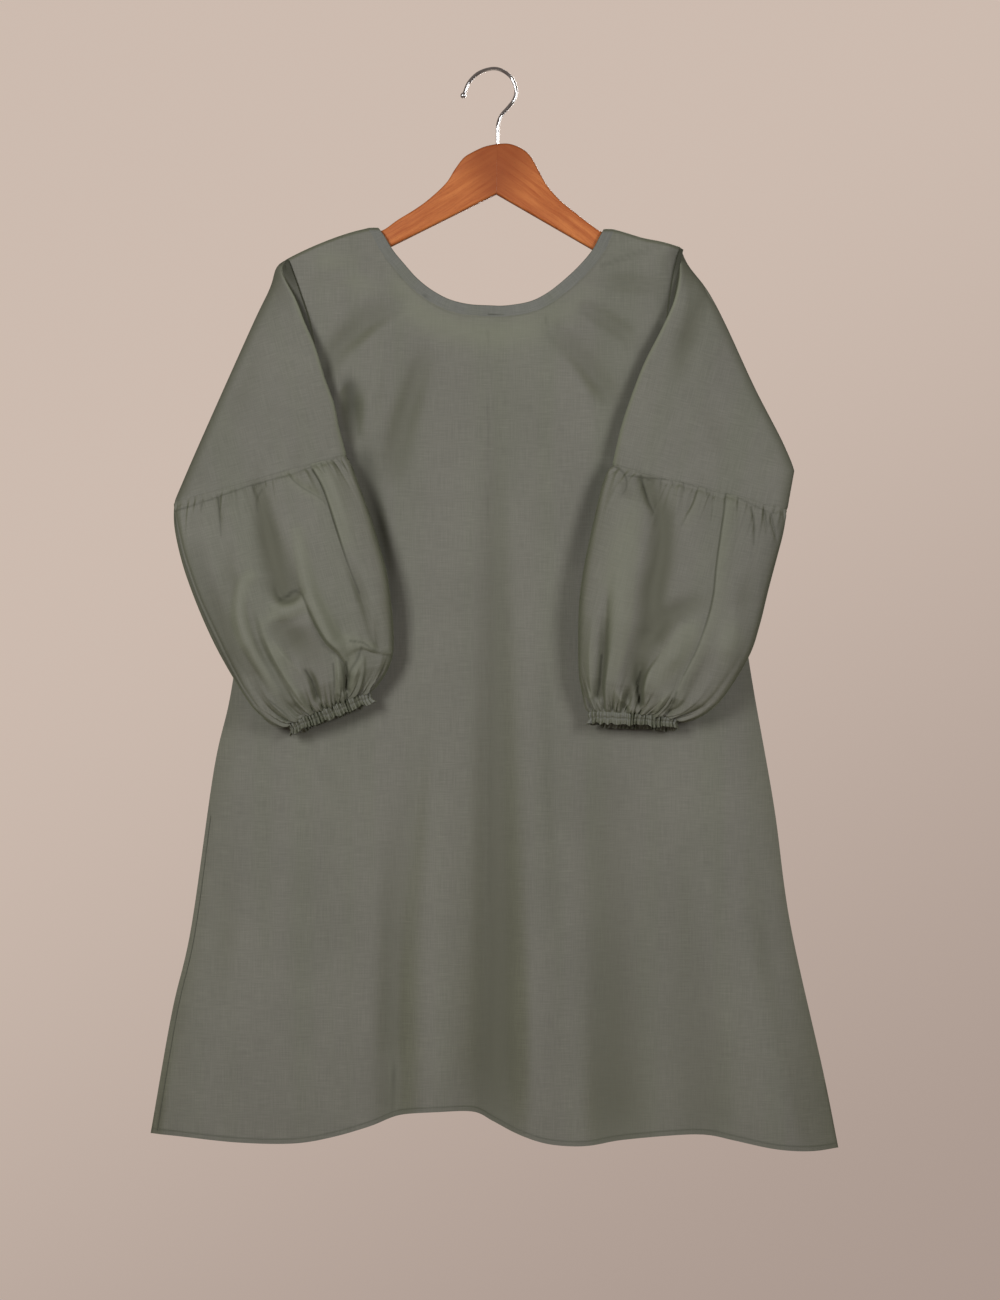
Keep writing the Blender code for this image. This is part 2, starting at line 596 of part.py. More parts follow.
def make_lower_sleeve(name, side, material):
    grid, normals = lower_sleeve_grid(side)
    return cloth_wall(name, grid, normals, WALL, True, material)


def make_cuff(name, side, material):
    """Band gathered on elastic, with the ruffle below it."""
    columns = 2 * CUFF_RUFFLES
    outer, inner = smooth_curve(LOWER_OUTER[side]), smooth_curve(LOWER_INNER[side])
    start, end = along(outer, 1), along(inner, 1)
    _, middle_y, front, back = LOWER_SECTION[-1]
    base = oval_ring(start, end, middle_y, front, back, columns)
    base[:, 2] -= CUFF_TILT * (base[:, 1] - base[:, 1].min()) / np.ptp(base[:, 1])
    run = unit(end - start)
    down = np.array([run[1], 0, -run[0]]) * (1 if side == "left" else -1)
    directions = oval_directions(base)
    wave = np.where(np.arange(columns) % 2 == 0, 1.0, -1.0)[:, None]
    rows = []
    for share, spread, ruffle in CUFF_ROWS:
        rows.append(base + down * (SEAM_GAP + CUFF_LENGTH * share) + directions * (spread + ruffle * wave))
    grid = np.array(rows)
    return cloth_wall(name, grid, np.array([directions] * len(rows)), WALL, True, material)


def make_hanger_half(name, side, material):
    """One flat wooden half: its outline extruded, its edges rounded and the bore for the hook cut."""
    gap = SEAM_GAP / 2 * (-1 if side == "left" else 1)
    outline = [(HANGER_TOP[0] + gap, HANGER_TOP[1])] + HANGER[side] + [(HANGER_APEX[0] + gap, HANGER_APEX[1])]
    work = bmesh.new()
    verts = [work.verts.new((x * MM, -HANGER_THICKNESS / 2 * MM, z * MM)) for x, z in outline]
    face = work.faces.new(verts)
    extruded = bmesh.ops.extrude_face_region(work, geom=[face])
    moved = [g for g in extruded["geom"] if isinstance(g, bmesh.types.BMVert)]
    bmesh.ops.translate(work, verts=moved, vec=(0, HANGER_THICKNESS * MM, 0))
    bmesh.ops.recalc_face_normals(work, faces=work.faces[:])
    rounded = [
        e for e in work.edges
        if abs(e.verts[0].co.y - e.verts[1].co.y) < 1e-6
        and not all(abs(v.co.x - (HANGER_TOP[0] + gap) * MM) < 0.002 and v.co.z < -0.07 for v in e.verts)
    ]
    bmesh.ops.bevel(work, geom=rounded, offset=HANGER_BEVEL * MM, segments=2, profile=0.5, affect="EDGES", clamp_overlap=True)
    mesh = bpy.data.meshes.new(name)
    work.to_mesh(mesh)
    work.free()
    mesh.materials.append(material)
    mesh.shade_smooth()
    mesh.set_sharp_from_angle(angle=math.radians(40))
    obj = bpy.data.objects.new(name, mesh)
    bpy.context.collection.objects.link(obj)
    return obj


def make_bore_cutter(halves):
    """Hole for the hook's shaft, down through the joint of the two halves."""
    bpy.ops.mesh.primitive_cylinder_add(
        vertices=16, radius=(WIRE_DIAMETER / 2 + SEAM_GAP) * MM, depth=2 * (SHAFT_DEPTH + SEAM_GAP) * MM,
        location=(HOOK[-1][0] * MM, 0, HANGER_TOP[1] * MM),
    )
    cutter = bpy.context.object
    cutter.name = "hook_bore_cutter"
    cutter.hide_render = True
    cutter.display_type = "WIRE"
    for half in halves:
        cut = half.modifiers.new("hook_bore", "BOOLEAN")
        cut.operation = "DIFFERENCE"
        cut.solver = "EXACT"
        cut.object = cutter


def make_hook(name, material):
    """Wire bent into a hook, with a ball at its tip and its shaft in the wood."""
    path = smooth_curve([(x, z) for x, z in HOOK] + [(HOOK[-1][0], HOOK[-1][1] - SHAFT_DEPTH)], 6)
    path = along(path, np.linspace(0, 1, 36))
    tangent = unit(np.gradient(path, axis=0))
    sides = 8
    rings, radius = [], WIRE_DIAMETER / 2
    ball = BALL_DIAMETER / 2
    start, heading = path[0], tangent[0]
    sections = []
    for angle in np.linspace(0, math.radians(142), 7):
        sections.append((start - heading * ball * (0.8 + math.cos(angle)), heading, max(ball * math.sin(angle), 0)))
    sections += [(p, t, radius) for p, t in zip(path, tangent)]
    vertices, faces = [], []
    for place, way, size in sections:
        across = np.array([-way[1], way[0]])
        if size < 1e-6:
            rings.append([len(vertices)])
            vertices.append((place[0], 0.0, place[1]))
            continue
        ring = []
        for k in range(sides):
            a = 2 * math.pi * k / sides
            flat = place + across * size * math.cos(a)
            ring.append(len(vertices))
            vertices.append((flat[0], size * math.sin(a), flat[1]))
        rings.append(ring)
    for a, b in zip(rings, rings[1:]):
        for k in range(sides):
            n = (k + 1) % sides
            if len(a) == 1:
                faces.append((a[0], b[k], b[n]))
            else:
                faces.append((a[k], a[n], b[n], b[k]))
    faces.append(tuple(rings[-1]))
    return new_object(name, vertices, faces, material)


def make_material(name, colour, roughness, metallic):
    material = bpy.data.materials.new(name)
    material.use_nodes = True
    shader = material.node_tree.nodes["Principled BSDF"]
    shader.inputs["Base Color"].default_value = (*colour, 1)
    shader.inputs["Roughness"].default_value = roughness
    shader.inputs["Metallic"].default_value = metallic
    return material


def main():
    for obj in list(bpy.data.objects):
        bpy.data.objects.remove(obj)
    cloth = {
        name: make_material(name, (0.17, 0.17, 0.14), 0.8, 0.0)
        for name in ("front_cloth", "back_cloth", "sleeve_cloth", "cuff_cloth", "binding_cloth")
    }
    wood = make_material("varnished_wood", (0.45, 0.13, 0.04), 0.4, 0.0)
    chrome = make_material("chrome_wire", (0.7, 0.7, 0.7), 0.15, 1.0)
    make_panel("front", -1, FRONT_FOLDS, FRONT_SIDE_ROWS, cloth["front_cloth"])
    make_panel("back", 1, BACK_FOLDS, BACK_SIDE_ROWS, cloth["back_cloth"])
    make_binding("neck_binding_front", -1, FRONT_FOLDS, cloth["binding_cloth"])
    make_binding("neck_binding_back", 1, BACK_FOLDS, cloth["binding_cloth"])
    for side in ("left", "right"):
        make_upper_sleeve(f"upper_sleeve_{side}", side, cloth["sleeve_cloth"])
        make_lower_sleeve(f"lower_sleeve_{side}", side, cloth["sleeve_cloth"])
        make_cuff(f"cuff_{side}", side, cloth["cuff_cloth"])
    halves = [make_hanger_half(f"hanger_{side}", side, wood) for side in ("left", "right")]
    make_bore_cutter(halves)
    make_hook("hook", chrome)


main()
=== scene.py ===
"""Looks of the tunic top on its wooden hanger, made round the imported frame.

Lengths are in millimetres from the origin under the hook's crown, and become metres in new_object.
Fold lines are drawn in units of the front view, 1.04 mm each, from its upper left corner.
"""
import math

import bpy
import bmesh
import numpy as np
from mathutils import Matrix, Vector

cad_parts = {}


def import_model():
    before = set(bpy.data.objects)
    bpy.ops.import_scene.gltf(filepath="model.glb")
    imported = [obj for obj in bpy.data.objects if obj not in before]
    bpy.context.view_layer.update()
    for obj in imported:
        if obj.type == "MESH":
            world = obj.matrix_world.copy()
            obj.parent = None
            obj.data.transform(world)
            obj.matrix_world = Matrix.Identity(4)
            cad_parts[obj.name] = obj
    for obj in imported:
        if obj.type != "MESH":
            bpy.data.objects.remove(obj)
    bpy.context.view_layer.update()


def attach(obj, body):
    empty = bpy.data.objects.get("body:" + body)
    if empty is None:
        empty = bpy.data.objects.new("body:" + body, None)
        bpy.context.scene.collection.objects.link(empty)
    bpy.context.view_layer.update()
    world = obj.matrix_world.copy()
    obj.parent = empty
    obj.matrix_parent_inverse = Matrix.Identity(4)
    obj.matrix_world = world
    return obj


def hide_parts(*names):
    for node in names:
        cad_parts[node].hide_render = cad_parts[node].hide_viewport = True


MM = 0.001
UNIT = 1.04  # one unit of the front view, mm
CLOTH = 0.7  # cloth wall, mm
BINDING_CLOTH = 1.8
SEAM_GAP = 0.3
SOLID_WALL = 1.4
SHEET_CLEARANCE = 2.4
BINDING_WIDTH = 11.5
BINDING_LEVELLING = 20.0
NECK_EDGE_SHADE = 0.35
HANGER_THICKNESS = 13.0
HANGER_BEVEL = 2.6
JOINT_GAP = 0.06
WIRE_DIAMETER = 3.6
BALL_DIAMETER = 6.0
SHAFT_DEPTH = 16.0
SHOULDER_ROUNDING = 5.0
SIDE_ROUNDING = 60.0
CUFF_RUFFLES = 52
random = np.random.default_rng(7)

SHOULDER = {
    "left": [(-214, -196), (-200, -189), (-182, -181), (-164, -174), (-147, -168.5), (-131, -164.5)],
    "right": [(193, -184), (176, -179), (154, -174.5), (136, -169), (125, -166)],
}
ARMHOLE = {
    "left": [(-214, -196), (-202, -228), (-190, -265), (-186, -301), (-196, -343), (-217, -374), (-239, -395)],
    "right": [(193, -184), (185, -218), (179, -260), (178, -301), (189, -343), (212, -374), (237, -395)],
}
SIDE_SEAM = {
    "left": [(-239, -395), (-250, -470), (-272, -638), (-291, -726), (-315, -892), (-335, -980), (-357, -1105)],
    "right": [(237, -395), (248, -485), (266, -620), (291, -764), (308, -887), (342, -1040), (358, -1120)],
}
NECK_SEAM = [
    (-131, -164.5), (-115, -192.5), (-101, -210), (-87, -225.5), (-70, -239), (-50, -249.5), (-28, -255), (-5, -256.5),
    (14, -256.5), (40, -252), (60, -242.5), (79, -228), (98, -210), (113, -191), (125, -166),
]
HEM = [
    (-357, -1105), (-320, -1107), (-266, -1112), (-207, -1113), (-168, -1107), (-129, -1096), (-95, -1084),
    (-55, -1080), (-21, -1081), (0, -1092), (25, -1104), (59, -1114), (96, -1116), (132, -1111), (177, -1106),
    (218, -1105), (251, -1111), (292, -1119), (329, -1122), (358, -1120),
]
BODY_DEPTH = [(-1125, 18), (-900, 15), (-600, 12.5), (-165, 10.5)]
# Large folds, as in the solids: x and z at the top and at the bottom, half widths, heights
FRONT_FOLDS = [
    (0, -380, 3, -1110, 12, 26, -2.2, -10.0),
    (-59, -480, -60, -1110, 22, 30, 1.0, 8.0),
    (42, -480, 47, -1120, 20, 26, 1.0, 7.0),
    (-106, -780, -104, -1110, 12, 18, -1.0, -6.0),
    (112, -700, 128, -1125, 24, 34, -1.0, -8.0),
    (-215, -780, -235, -1125, 40, 50, 1.0, 5.0),
    (88, -860, 90, -1125, 18, 20, 0.5, 4.0),
    (205, -800, 222, -1120, 26, 36, -0.5, -5.0),
    (255, -850, 292, -1125, 26, 36, 0.5, 5.0),
    (-92, -240, -176, -300, 9, 9, -2.5, -2.0),
    (-72, -296, -106, -420, 12, 16, -2.0, -3.0),
    (54, -262, 122, -340, 10, 12, -2.0, -3.0),
    (92, -246, 142, -276, 8, 8, -2.0, -2.0),
]
BACK_FOLDS = [
    (10, -330, -6, -1110, 18, 34, -1.0, -9.0),
    (-70, -520, -86, -1110, 26, 36, 1.0, 7.0),
    (84, -480, 96, -1120, 24, 34, 1.0, 8.0),
    (-150, -650, -168, -1110, 22, 30, -1.0, -7.0),
    (168, -620, 184, -1120, 24, 32, -1.0, -7.0),
    (-230, -780, -250, -1120, 32, 42, 0.5, 5.0),
    (250, -760, 275, -1125, 32, 42, 0.5, 5.0),
    (-120, -235, -70, -330, 14, 18, -2.0, -2.0),
    (120, -235, 60, -340, 14, 18, -2.0, -2.0),
]
# Finer folds: profile, half width at each end, height at the start, middle and end, line in units of the front view
FRONT_CREASES = [
    ("soft", 9, 14, 0, -2.0, -2.6, [(416, 298), (388, 300), (364, 318), (344, 340), (328, 366)]),
    ("soft", 9, 9, 0, 1.4, 0, [(398, 318), (374, 338), (356, 364)]),
    ("soft", 8, 9, -0.5, -1.6, 0, [(304, 292), (328, 279), (358, 271), (396, 270)]),
    ("soft", 6, 7, 0, 1.2, 0, [(316, 308), (338, 296), (366, 290)]),
    ("soft", 9, 9, -0.5, -4.2, -2.5, [(350, 380), (352, 405), (354, 434)]),
    ("ridge", 6, 6, 0, 1.4, 0, [(332, 404), (341, 388), (354, 378)]),
    ("soft", 10, 14, -0.3, -2.2, -1, [(429, 345), (413, 390), (401, 430), (391, 475)]),
    ("soft", 12, 6, -1.0, -3.2, -0.5, [(364, 445), (371, 490), (378, 530), (387, 575), (391, 610)]),
    ("soft", 9, 12, 0, 1.8, 0, [(385, 345), (376, 390), (372, 440)]),
    ("soft", 14, 18, 0, -1.3, -0.6, [(546, 322), (569, 338), (591, 362), (612, 410)]),
    ("soft", 10, 13, 0, -1.3, -0.8, [(576, 304), (606, 321), (640, 348)]),
    ("soft", 8, 10, -0.3, -2.6, -1.2, [(584, 286), (625, 284), (664, 289)]),
    ("soft", 7, 7, -0.8, -2.2, -0.5, [(668, 262), (672, 290), (664, 322)]),
    ("ridge", 3.5, 3.5, 0, 1.2, 0, [(601, 267), (628, 257), (655, 246)]),
    ("soft", 12, 14, 0, 1.6, 0, [(560, 345), (585, 395), (598, 450)]),
    ("tuck", 9, 9, 0.2, 0.9, 0.4, [(171, 1040), (165, 1074), (161, 1109), (157, 1136)]),
    ("ridge", 4, 4, 0, 0.8, 0, [(362, 690), (361, 750), (361, 812)]),
    ("ridge", 4, 4, 0, 0.8, 0, [(393, 1040), (394, 1080), (393, 1116)]),
    ("ridge", 5, 5, 0.1, 0.5, 0.2, [(488, 330), (488, 600), (489, 900), (488, 1050)]),
    ("soft", 18, 22, 0, 2.0, 0, [(300, 760), (292, 880), (280, 1010)]),
    ("soft", 16, 20, 0, -1.6, 0, [(238, 800), (225, 930), (208, 1080)]),
    ("soft", 16, 20, 0, 1.6, 0, [(690, 760), (708, 900), (724, 1060)]),
    ("soft", 14, 18, 0, -1.4, 0, [(748, 820), (765, 950), (786, 1100)]),
    ("soft", 14, 16, -0.4, -2.3, -1.0, [(430, 620), (418, 760), (404, 900), (395, 1040)]),
    ("soft", 10, 14, 0, -1.3, 0, [(548, 620), (556, 800), (560, 960)]),
]
BACK_CREASES = [
    ("soft", 9, 12, 0, -2.4, 0, [(360, 290), (392, 318), (420, 372)]),
    ("soft", 9, 12, 0, -2.2, 0, [(632, 288), (600, 320), (572, 380)]),
    ("soft", 7, 8, 0, -1.6, 0, [(330, 300), (352, 340), (362, 400)]),
    ("soft", 7, 8, 0, -1.6, 0, [(662, 300), (640, 345), (632, 410)]),
    ("soft", 14, 18, 0, 1.8, 0, [(430, 520), (428, 700), (424, 900)]),
    ("soft", 14, 18, 0, -1.6, 0, [(560, 560), (566, 760), (572, 960)]),
    ("ridge", 5, 5, 0.1, 0.5, 0.2, [(494, 330), (494, 600), (495, 900), (494, 1050)]),
    ("soft", 16, 20, 0, 1.6, 0, [(300, 780), (290, 900), (276, 1040)]),
    ("soft", 16, 20, 0, -1.6, 0, [(700, 780), (716, 900), (734, 1060)]),
]

# Painted shade on the front, mixed towards near black: fold bottoms, shadows cast beside the sleeves, seam and crease
# lines, and one dark thread mark: width, strength, line
FRONT_LINES = [
    (9.0, 0.52, [(349, 387), (352, 406), (353, 426)]),
    (9.0, 0.36, [(366, 458), (372, 490), (380, 530), (387, 562)]),
    (10.0, 0.50, [(677, 256), (675, 285), (668, 315)]),
    (8.0, 0.36, [(660, 330), (642, 366), (622, 410), (607, 450)]),
    (8.0, 0.26, [(600, 470), (586, 510), (575, 560)]),
    (2.2, 0.20, [(602, 267), (628, 257), (655, 247)]),
    (1.0, 0.18, [(384, 256), (394, 270), (408, 286), (424, 300), (446, 312), (465, 317), (488, 318), (507, 318)]),
    (1.0, 0.18, [(507, 318), (532, 313.5), (552, 304), (571, 290), (590, 272.5), (604, 255), (615, 234)]),
    (1.1, 0.30, [(546, 320), (546, 325)]),
    (0.9, 0.30, [(165, 1074), (161, 1109), (157.5, 1134)]),
    (0.9, 0.22, [(178, 990), (171, 1040), (165, 1074)]),
    (0.8, 0.25, [(393, 1040), (394, 1080), (393, 1116)]),
    (0.7, 0.12, [(488, 330), (488, 600), (489, 900)]),
]
# Painted highlight, lighter and greener, below the neck and at the left shoulder: width, strength, line
FRONT_LIGHTS = [
    (17.0, 0.48, [(402, 296), (428, 318), (462, 330), (498, 334), (536, 327), (566, 312), (592, 288)]),
    (14.0, 0.35, [(330, 262), (352, 274), (372, 292)]),
]
BINDING_LINES = [
    (0.8, 0.60, [(489, 315.5), (504, 315.5)]),
    (0.7, 0.45, [(488, 311), (488, 317)]),
    (1.2, 0.40, [(424, 296), (429, 299)]),
]
# Painted shade along the back's centre crease: width, strength, line
BACK_LINES = [(0.7, 0.12, [(494, 330), (494, 600), (495, 900)])]

UPPER_OUTER = {
    "left": [(-214, 0, -196), (-225.5, -4, -205.5), (-232.5, -7, -228), (-251, -11, -268), (-304, -20, -389), (-330, -30, -452)],
    "right": [(193, 0, -184), (202, -4, -204), (222, -8, -231), (241, -11, -268), (270, -15, -332), (301, -20, -394),
              (311, -26, -428), (302, -30, -459)],
}
UPPER_INNER = {
    "left": [(-214, 0, -196), (-220.5, -8, -207), (-217, -15, -218.5), (-206, -20, -239), (-196, -23, -264), (-185, -25, -289), (-175, -27, -321),
             (-165, -28, -349), (-159, -29, -378), (-152, -30, -403)],
    "right": [(193, 0, -184), (193, -14, -207), (191, -20, -224), (185, -23, -246), (173, -25, -272), (153, -27, -312),
              (135, -28, -361), (127, -29, -390), (122, -30, -413)],
}
UNDERARM_SHARE = 0.86  # of the upper sleeve's edges, where the armhole ends
UPPER_ROWS = np.concatenate([np.linspace(0.012, UNDERARM_SHARE, 62)])
UPPER_FRONT_SPANS = 72
UPPER_UNDER_SPANS = 28
UPPER_BACK_SPANS = UPPER_FRONT_SPANS - UPPER_UNDER_SPANS
UPPER_FULLNESS = [(0.0, 0), (0.25, 4), (0.6, 9), (1.0, 15)]
FLATNESS = 0.6  # under 1 for pressed sleeves: quick at the edges and flat between them
SEAM_TURN = 4.0
UNDER_SHADE = {"left": 0.40, "right": 0.50}  # painted shade of the layer under the sleeve's inner fold
# Painted shade at the sleeve's top
TIP_SHADE = 0.30
UPPER_HOLLOW_DEPTH = 5.0
TOP_TONE = 0.75  # painted shade, olive, at the sleeve's top and along its outer edge
TOP_REACH = 62.0
EDGE_TONE = 0.85
EDGE_BAND = 15.0
RIM_LIGHT = 0.9  # painted highlight: a pale rim along the inner fold
RIM_REACH = 2.6
SEAM_TUCK = -0.5  # the sleeve's edge lies under the panel's
BACK_PUFF = 8.0
ELBOW_SECTION = (-30, 15, 10)
ELBOW_ROWS = np.concatenate([np.linspace(0.04, 0.88, 18), [0.91, 0.935, 0.955, 0.97, 0.985, 1.0]])
ELBOW_LENGTH = 62.0
SEAM_DIP = 1.1  # how far the cloth sinks at a gathered seam, mm
SEAM_DIP_REACH = 3.2
UNDERARM_CORNER = (1.9, -0.4, -1.2)
UNDERARM_STEP = (0.8, -4.8, -1.5)
UNDERARM_STEP_SHARE = 0.08
UPPER_CREASES = {
    "left": [
        ("soft", 6, 8, 0, 1.6, 0, [(290, 284), (297, 320), (312, 372)]),
        ("soft", 10, 12, 0, -1.2, 0, [(262, 330), (240, 390), (215, 450)]),
        ("soft", 12, 14, 0, 1.2, 0, [(300, 350), (290, 410), (268, 462)]),
        ("soft", 5, 6, 0, -1.2, -0.8, [(300, 440), (299, 455), (297, 470)]),
        ("soft", 4, 5, 0, -1.0, -0.8, [(262, 455), (258, 468), (255, 482)]),
        ("soft", 4, 4, 0, -0.8, -0.8, [(222, 474), (221, 484), (220, 494)]),
    ],
    "right": [
        ("soft", 9, 11, -2.0, -4.2, 0, [(716, 286), (700, 308), (687, 342), (674, 388)]),
        ("soft", 6, 6, 0, 1.6, 0, [(686, 276), (686, 296), (676, 322)]),
        ("soft", 10, 12, 0, 1.2, 0, [(726, 316), (714, 350), (700, 392)]),
        ("soft", 9, 12, 0, 1.2, 0, [(668, 352), (660, 400), (655, 452)]),
        ("soft", 10, 12, 0, -1.2, 0, [(700, 380), (716, 430), (735, 482)]),
        ("ridge", 3, 3, 0, 0.7, 0, [(640, 463), (680, 464), (722, 476), (765, 494)]),
        ("soft", 4, 5, 0, -0.9, -0.8, [(700, 462), (702, 472), (704, 482)]),
    ],
}

LOWER_OUTER = {
    "left": [(-330, -453), (-329, -475), (-324, -500), (-315, -530), (-298, -573), (-279, -612), (-255, -652), (-238, -671),
             (-222, -680), (-212, -678)],
    "right": [(302, -460), (298, -482), (291, -508), (282, -541), (273, -577), (262, -609), (238, -648), (218, -666),
              (198, -673), (189, -671)],
}
LOWER_INNER = {
    "left": [(-152, -404), (-143, -424), (-130, -458), (-120, -489), (-111, -521), (-106, -555), (-104, -583),
             (-105, -606), (-111, -623), (-121, -638), (-129, -645)],
    "right": [(122, -414), (116, -423), (110, -441), (101, -479), (93, -517), (88, -554), (87, -591), (88, -627),
              (94, -652), (99, -665)],
}
LOWER_SECTION = [
    (0.0, *ELBOW_SECTION), (0.12, -34, 21, 14), (0.35, -38, 26, 18), (0.6, -40, 27, 20), (0.85, -37, 20, 15), (1.0, -33, 9, 9),
]
LOWER_FRONT_COLUMNS = 232
LOWER_BACK_COLUMNS = 88
LOWER_COLUMNS = LOWER_FRONT_COLUMNS + LOWER_BACK_COLUMNS
LOWER_ROW_COUNT = 146
LOWER_CREASES = {
    "left": [
        ("tuck", 16, 10, 2.6, 2.4, 0.2, [(313, 469), (322, 485), (329, 503), (339, 535), (350, 568), (362, 598)]),
        ("ridge", 6, 5, 1.2, 2.2, 0.3, [(289, 475), (300, 486), (318, 497), (329, 507)]),
        ("soft", 8, 15, -3.5, -6.5, -5.5, [(258, 486), (266, 524), (275, 560), (283, 588)]),
        ("soft", 4, 4, -0.5, -3.6, -0.5, [(276, 584), (281, 597), (290, 599), (301, 592), (308, 588)]),
        ("soft", 7, 7, 0.5, 3.6, 0.5, [(268, 596), (280, 608), (294, 607), (305, 600)]),
        ("soft", 8, 9, 1.5, 4.5, 3.5, [(298, 535), (303, 563), (310, 592), (322, 618), (334, 640), (348, 645)]),
        ("tuck", 14, 8, 0.5, 5.5, 2.0, [(306, 600), (316, 622), (327, 641), (338, 652), (346, 664), (348, 682)]),
        ("soft", 7, 9, 0.5, 4.5, 1.5, [(276, 577), (260, 575), (246, 582), (241, 600), (244, 628), (257, 658), (277, 688)]),
        ("soft", 5, 6, -1.0, -3.4, -2.2, [(250, 606), (260, 642), (276, 673), (288, 695)]),
        ("soft", 12, 12, -0.5, -2.8, -1.5, [(210, 535), (214, 590), (222, 640), (236, 674)]),
        ("ridge", 6, 5, 0.5, 3.2, 1.5, [(261, 618), (271, 648), (287, 678), (300, 696)]),
        ("soft", 13, 14, -3.2, -4.6, -2.0, [(284, 632), (296, 640), (310, 656)]),
        ("soft", 7, 6, 0.3, 2.6, 1.5, [(262, 628), (276, 618), (290, 615), (303, 606)]),
        ("ridge", 5, 5, 0.2, 2.4, 1.0, [(271, 634), (285, 656), (301, 672)]),
        ("soft", 5, 7, -0.5, -4.2, -2.5, [(346, 546), (357, 578), (368, 608), (379, 646)]),
        ("ridge", 5, 5, 0.5, 2.6, 0.5, [(364, 590), (373, 618), (376, 645)]),
        ("tuck", 9, 8, 0.6, 3.6, 1.0, [(352, 652), (362, 648), (375, 652), (391, 655)]),
        ("soft", 4, 4, -0.5, -4.5, -4.0, [(305, 668), (313, 680), (318, 698)]),
        ("ridge", 3.5, 3, 1.0, 3.2, 2.0, [(338, 658), (339, 676), (338, 692)]),
        ("soft", 3.5, 3, -1.0, -5.5, -5.0, [(346, 664), (348, 678), (346, 690)]),
        ("ridge", 5, 4, 0.5, 2.6, 1.5, [(365, 656), (356, 672), (350, 688)]),
        ("soft", 5, 4, -0.5, -3.0, -2.0, [(285, 700), (294, 708), (304, 716)]),
        ("ridge", 4, 4, 0.5, 2.2, 1.0, [(296, 692), (303, 702), (309, 710)]),
        ("tuck", 2.6, 2.6, -1.0, -1.3, -1.0, [(174, 512), (181, 545), (188, 568), (201, 604), (217, 640), (236, 677), (256, 706)]),
        ("soft", 10, 12, 0, 2.0, 0, [(205, 520), (214, 570), (228, 620)]),
        ("soft", 9, 10, 0, -2.4, 0, [(226, 540), (229, 580), (232, 615)]),
        ("soft", 6, 8, 0, -2.4, 0, [(240, 640), (258, 680), (276, 706)]),
        ("ridge", 2.6, 2, -1.6, -1.6, 0, [(218, 496), (220, 512), (222, 536)]),
    ],
    "right": [
        ("tuck", 14, 12, 1.6, 1.9, 1.2,
         [(726, 491), (724, 508), (720, 535), (715, 568), (712, 598), (706, 622), (696, 650), (683, 675), (673, 698)]),
        ("ridge", 2.4, 2.4, -2.2, -2.4, 0, [(641, 475), (645, 490), (649, 503), (655, 516)]),
        ("tuck", 10, 8, 0.8, 1.4, 0, [(698, 488), (692, 505), (681, 523), (677, 535)]),
        ("soft", 10, 16, -4.5, -7.0, -3.5, [(650, 484), (662, 518), (660, 556), (653, 590), (650, 624), (642, 650), (626, 687)]),
        ("soft", 16, 12, 1.0, 4.5, 2.5, [(630, 510), (624, 550), (620, 600), (618, 650), (615, 690)]),
        ("soft", 5, 4, -0.6, -5.0, -4.5, [(607, 590), (604, 628), (602, 658), (598, 696)]),
        ("ridge", 6, 4, 0.5, 2.0, 2.0, [(592, 620), (590, 660), (592, 696)]),
        ("soft", 10, 11, -0.8, -4.2, -3.5, [(708, 603), (688, 606), (669, 616), (655, 634)]),
        ("soft", 12, 12, 0.2, 1.8, 0.5, [(706, 622), (692, 627), (676, 636), (662, 652)]),
        ("soft", 12, 10, 0.6, 4.0, 2.0, [(690, 636), (668, 660), (654, 682)]),
        ("soft", 5, 4, -1.0, -7.0, -7.0, [(640, 662), (638, 684), (639, 704)]),
        ("tuck", 7, 6, 0.6, 3.6, 2.0, [(655, 660), (647, 672), (642, 690), (641, 704)]),
        ("soft", 10, 9, 0, -1.6, -1.2, [(728, 636), (712, 662), (690, 690)]),
        ("soft", 11, 10, 0, 2.6, 0.6, [(740, 600), (728, 640), (708, 680)]),
        ("ridge", 5, 4, 0.5, 2.4, 1.8, [(616, 690), (622, 700), (629, 708)]),
        ("soft", 4, 3.5, -0.5, -3.6, -3.0, [(629, 690), (626, 700), (623, 708)]),
        ("ridge", 4, 3.5, 0.5, 2.6, 1.6, [(668, 692), (661, 702), (656, 710)]),
        ("soft", 4, 3.5, -0.5, -3.0, -2.6, [(676, 697), (672, 706), (668, 712)]),
        ("ridge", 2.2, 2, -1.4, -1.6, 0, [(751, 506), (754, 523), (753, 548)]),
        ("ridge", 2.0, 2, -1.2, -1.4, 0, [(765, 511), (766, 528), (766, 536)]),
        ("ridge", 2.4, 2, -1.2, -1.6, 0, [(770, 513), (774, 530), (777, 545)]),
        ("soft", 6, 6, -1.5, -1.6, 0, [(624, 478), (627, 486), (626, 500)]),
        ("soft", 10, 12, 0, -2.0, 0, [(752, 560), (746, 600), (738, 640)]),
    ],
}
LOWER_LENGTH = 225.0
